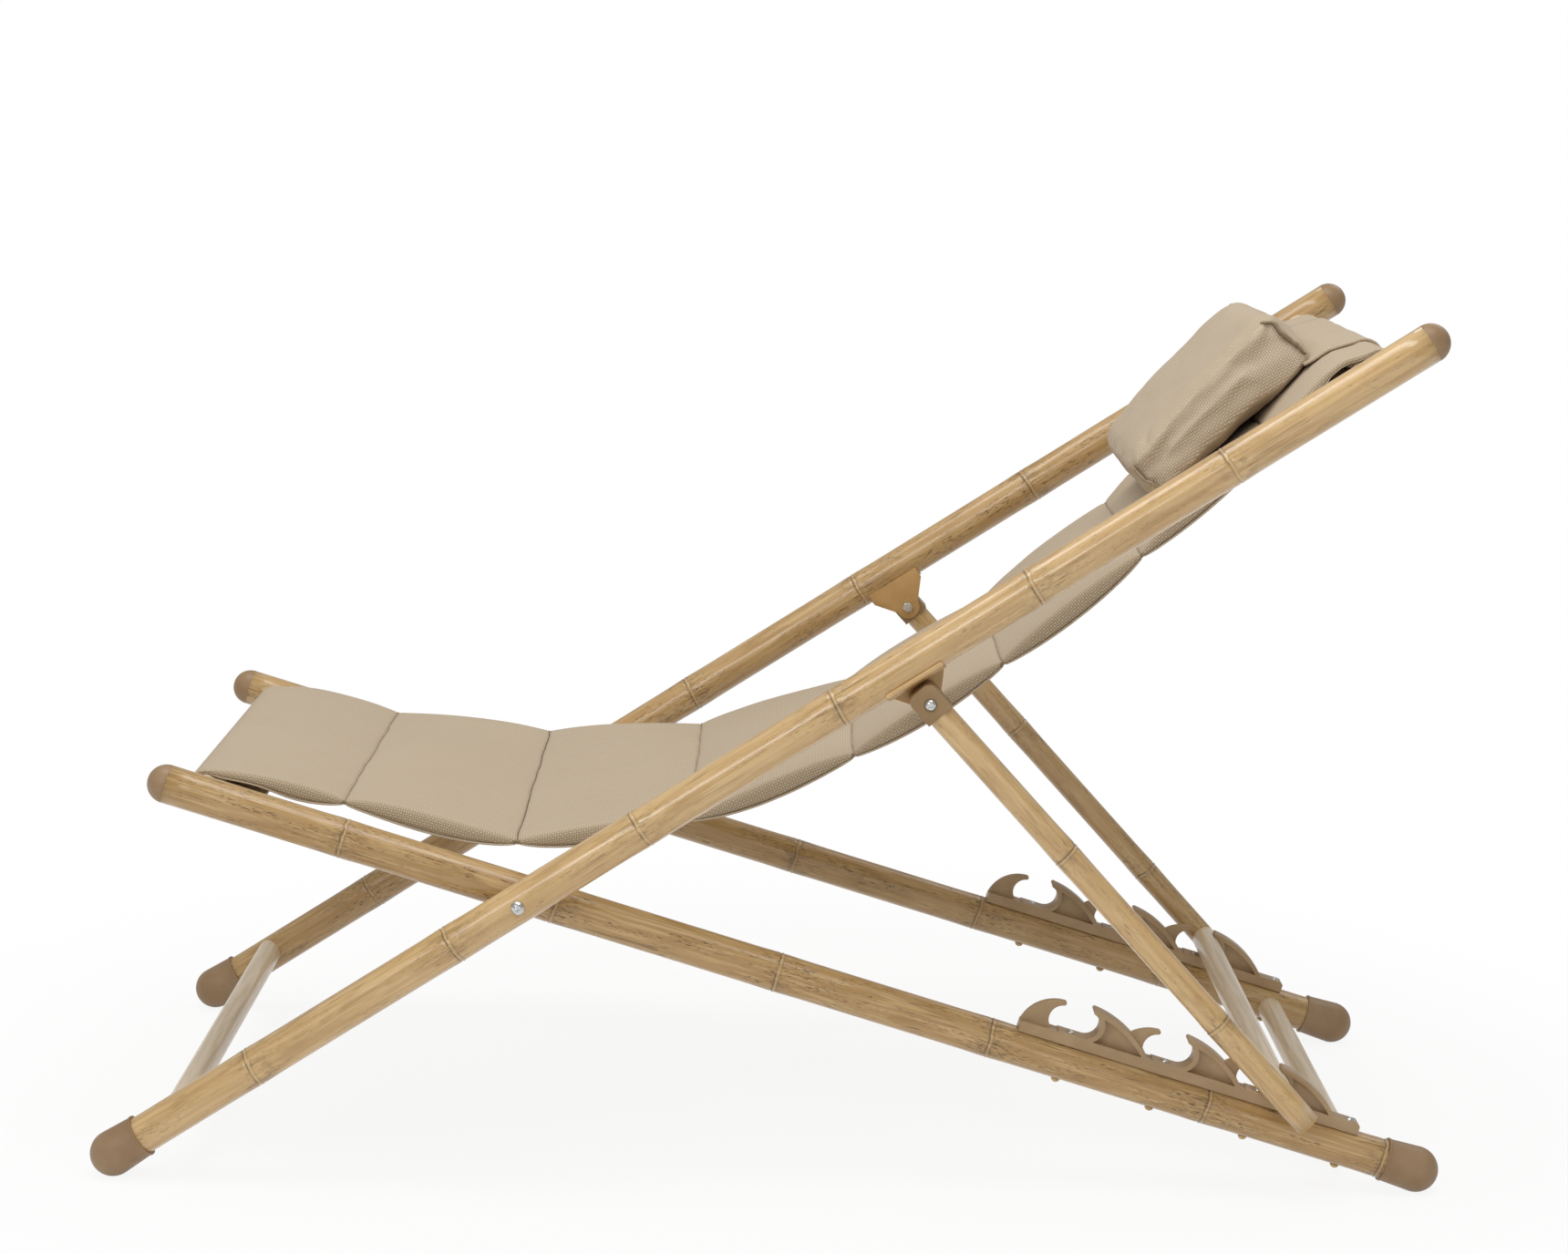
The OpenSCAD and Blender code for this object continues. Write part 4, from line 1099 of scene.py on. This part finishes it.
def pleatPillow(bm, p):
    # Soft waves all over, and pleats that run out of the tucked corners
    for v in bm.verts:
        at, across, y = toRail(v.co)
        end = within((abs(y) - p["half"] + p["tuck"]) / p["tuck"])
        lift = p["wave"] * noise.noise((at / 60, y / 70, across / 30))
        lift += p["crease"] * noise.noise((at / 22, y / 30, across / 16 + 5))
        for corner in (p["backUp"], p["frontLow"]):
            dx, dz = at - corner[0], across - corner[1]
            away = math.hypot(dx, dz)
            turn = math.atan2(dz, dx) * p["pleats"] + 2.0 * noise.noise((away / 20, y / 20, 3.0))
            fan = math.sin(turn) * bell(away - p["pleatReach"], p["pleatReach"])
            lift += end * p["pleat"] * fan
        v.co += v.normal * lift * mm


def settlePillow(bm, p):
    middle = (p["frontLow"][0] + p["backLow"][0]) / 2
    for v in bm.verts:
        at, across, y = toRail(v.co)
        share = within((across - slingTopAt(at) - p["clear"]) / p["settle"])
        if share < 1:
            flare = p["flare"] * (1 - share) ** 2
            nearEnd = within((abs(y) - p["half"] + p["flareIn"]) / p["flareIn"])
            nearSide = within((abs(at - middle) - p["flareFrom"]) / p["flareIn"])
            y += math.copysign(flare * nearEnd, y)
            at += math.copysign(flare * nearSide, at - middle)
            over = p["clear"] + p["settle"] * share ** p["settlePower"]
            v.co = fromRail(at, slingTopAt(at) + over, y)


def markPillow(bm, p, uv):
    # The weave runs along each of its sides, and its ends are marked as stretched, most at the
    # bottom:
    # they are painted lighter, partly an open weave and partly painted light against their shade
    stretchedLitEnd = bm.verts.layers.float.new("stretchedLitEnd")
    for v in bm.verts:
        at, across, y = toRail(v.co)
        high = within((across - slingTopAt(at)) / p["stretchLitTop"])
        endOn = within((abs(v.normal.y) - p["stretchLitFrom"]) / p["stretchLitOver"])
        v[stretchedLitEnd] = (1 - p["stretchLitLess"] * high) * endOn
    for face in bm.faces:
        along, over = (abs(q) for q in turned(face.normal.x, face.normal.z, -backAngle))
        for loop in face.loops:
            at, across, y = toRail(loop.vert.co)
            if abs(face.normal.y) > max(along, over):
                loop[uv].uv = (at * mm, (abs(y) + p["weaveTop"] - across) * mm)
            elif over > along:
                loop[uv].uv = (at * mm, y * mm)
            else:
                loop[uv].uv = ((at - across) * mm, y * mm)


def addFold(bm, p, needle, path, out, width, seed):
    # A sewn fold that stands off the pillow: a line pushed out into a strip, gathered a little
    kept = path[:1]
    for point in path[1:]:
        if (point - kept[-1]).length > p["foldStep"] * mm:
            kept.append(point)
    line = [bm.verts.new(point) for point in kept]
    edges = [bm.edges.new(pair) for pair in zip(line, line[1:])]
    made = bmesh.ops.extrude_edge_only(bm, edges=edges)["geom"]
    outer = [g for g in made if isinstance(g, bmesh.types.BMVert)]
    faces = [g for g in made if isinstance(g, bmesh.types.BMFace)]
    for k, v in enumerate(outer):
        share = k / (len(outer) - 1)
        reach = width * (0.25 + 0.75 * math.sin(math.pi * min(1, 0.08 + 0.9 * share)))
        gather = p["foldGather"] * mm * math.sin(k * 1.9 + seed)
        v.co += out * reach * mm + Vector((0, gather, 0))
    for v in line:
        v[needle] = 1.0
    bmesh.ops.recalc_face_normals(bm, faces=faces)
    bmesh.ops.solidify(bm, geom=faces, thickness=p["foldThick"] * mm)


def makePillow(p):
    bm = bmesh.new()
    bmesh.ops.create_cube(bm, size=2)
    bmesh.ops.subdivide_edges(bm, edges=list(bm.edges), cuts=p["cuts"], use_grid_fill=True)
    for v in bm.verts:
        v.co = shapePillow(p, *v.co)
    bmesh.ops.recalc_face_normals(bm, faces=bm.faces)
    piece = newPiece("head_pillow_stuffed", bm, cloth, "back_frame", ["head_pillow"])
    simulatePillow(piece, p)

    bm = bmesh.new()
    bm.from_mesh(piece.data)
    bmesh.ops.smooth_vert(bm, verts=bm.verts, factor=0.5, use_axis_x=True, use_axis_y=True,
                          use_axis_z=True)
    bmesh.ops.subdivide_edges(bm, edges=list(bm.edges), cuts=1, smooth=0.4, use_grid_fill=True)
    bm.normal_update()
    pleatPillow(bm, p)
    settlePillow(bm, p)
    uv = bm.loops.layers.uv.new("weave")
    needle = bm.verts.layers.float.new("seamLine")
    markPillow(bm, p, uv)
    skin = BVHTree.FromBMesh(bm)
    for side in (-1, 1):
        for points, away, width, seed in (p["backFold"], p["frontFold"]):
            path = curve([(at, across, p["half"] * side * share)
                          for at, across, share in points], 6)
            path = [skin.find_nearest(fromRail(*point))[0] for point in path]
            out = fromRail(away[0], away[1], side * away[2]) - fromRail(0, 0, 0)
            addFold(bm, p, needle, path, out.normalized(), width, seed)
    for face in bm.faces:
        face.smooth = True
    bm.to_mesh(piece.data)
    bm.free()


makePillow(pillow)
print("pillow ready")

# The flap that holds the pillow: a doubled sheet from its back edge over the top rod

flap = {
    "half": 134.0, "thick": 2.4, "stitch": 7.5,
    "start": 872, "rodStart": 909, "step": 9,  # along the long rail, up to the rod
    "lift": 2.2, "rise": 0.3, "riseTo": 884,   # it starts a little higher, at the pillow's seam
    "overRod": 19.0, "rodTurns": (88, 66, 44, 22, 4), "hang": 14.0,
    "steps": 5, "columns": 56, "wave": 0.8,
    "sidePower": 0.7,                          # columns gather at the two side hems
    "hemRise": 0.7, "hemReach": 3.2, "stitchDip": 0.5, "dipReach": 1.2, "seamLine": 0.9,
}


def makeFlap(p):
    # Over the sling, round the top rod's sleeve and down behind it
    at, across = sling["topRod"]
    path = [(k, slingTopAt(k) + p["lift"] + max(0, p["riseTo"] - k) * p["rise"])
            for k in range(p["start"], p["rodStart"], p["step"])]
    path += [(at + p["overRod"] * math.cos(math.radians(turn)),
              across + p["overRod"] * math.sin(math.radians(turn))) for turn in p["rodTurns"]]
    behind, low = path[-1]
    path += [(behind + 1.0, low - p["hang"] / 2), (behind + 2.5, low - p["hang"])]
    line = curve(path, p["steps"])
    places = lengthsAlong(line)
    length, rows, columns = places[-1], len(line) - 1, p["columns"]
    bm, spots, needle = flatCloth(rows, columns, ("seamLine",),
                                  lambda i, j: (places[i], (2 * j / columns - 1) * p["half"]))
    for v, (i, j) in spots.items():
        share = 2 * j / columns - 1
        y = math.copysign(abs(share) ** p["sidePower"], share) * p["half"]
        before, after = line[max(0, i - 1)], line[min(rows, i + 1)]
        out = Vector((before.y - after.y, after.x - before.x)).normalized()
        edge = min(p["half"] - abs(y), length - places[i])
        wave = noise.noise((places[i] / 26, y / 33, 1.0)) * min(1, places[i] / 20)
        lift = p["wave"] * wave + p["hemRise"] * bell(edge - p["stitch"] / 2, p["hemReach"])
        lift -= p["stitchDip"] * bell(edge - p["stitch"], p["dipReach"])
        v[needle] = bell(edge - p["stitch"], p["seamLine"])
        spot = line[i] + out * lift
        v.co = fromRail(spot.x, spot.y, y)
    bmesh.ops.recalc_face_normals(bm, faces=bm.faces)
    bm.normal_update()
    inwards = bm.faces[0].normal.dot(fromRail(0, 1, 0) - fromRail(0, 0, 0)) > 0
    bmesh.ops.solidify(bm, geom=list(bm.faces),
                       thickness=(p["thick"] if inwards else -p["thick"]) * mm)
    bmesh.ops.recalc_face_normals(bm, faces=bm.faces)
    piece = newPiece("pillow_flap_sheet", bm, cloth, "back_frame", ["pillow_flap"])
    print("flap is", round(2 * p["half"]), "by", round(length), "mm")


makeFlap(flap)
print("flap ready")
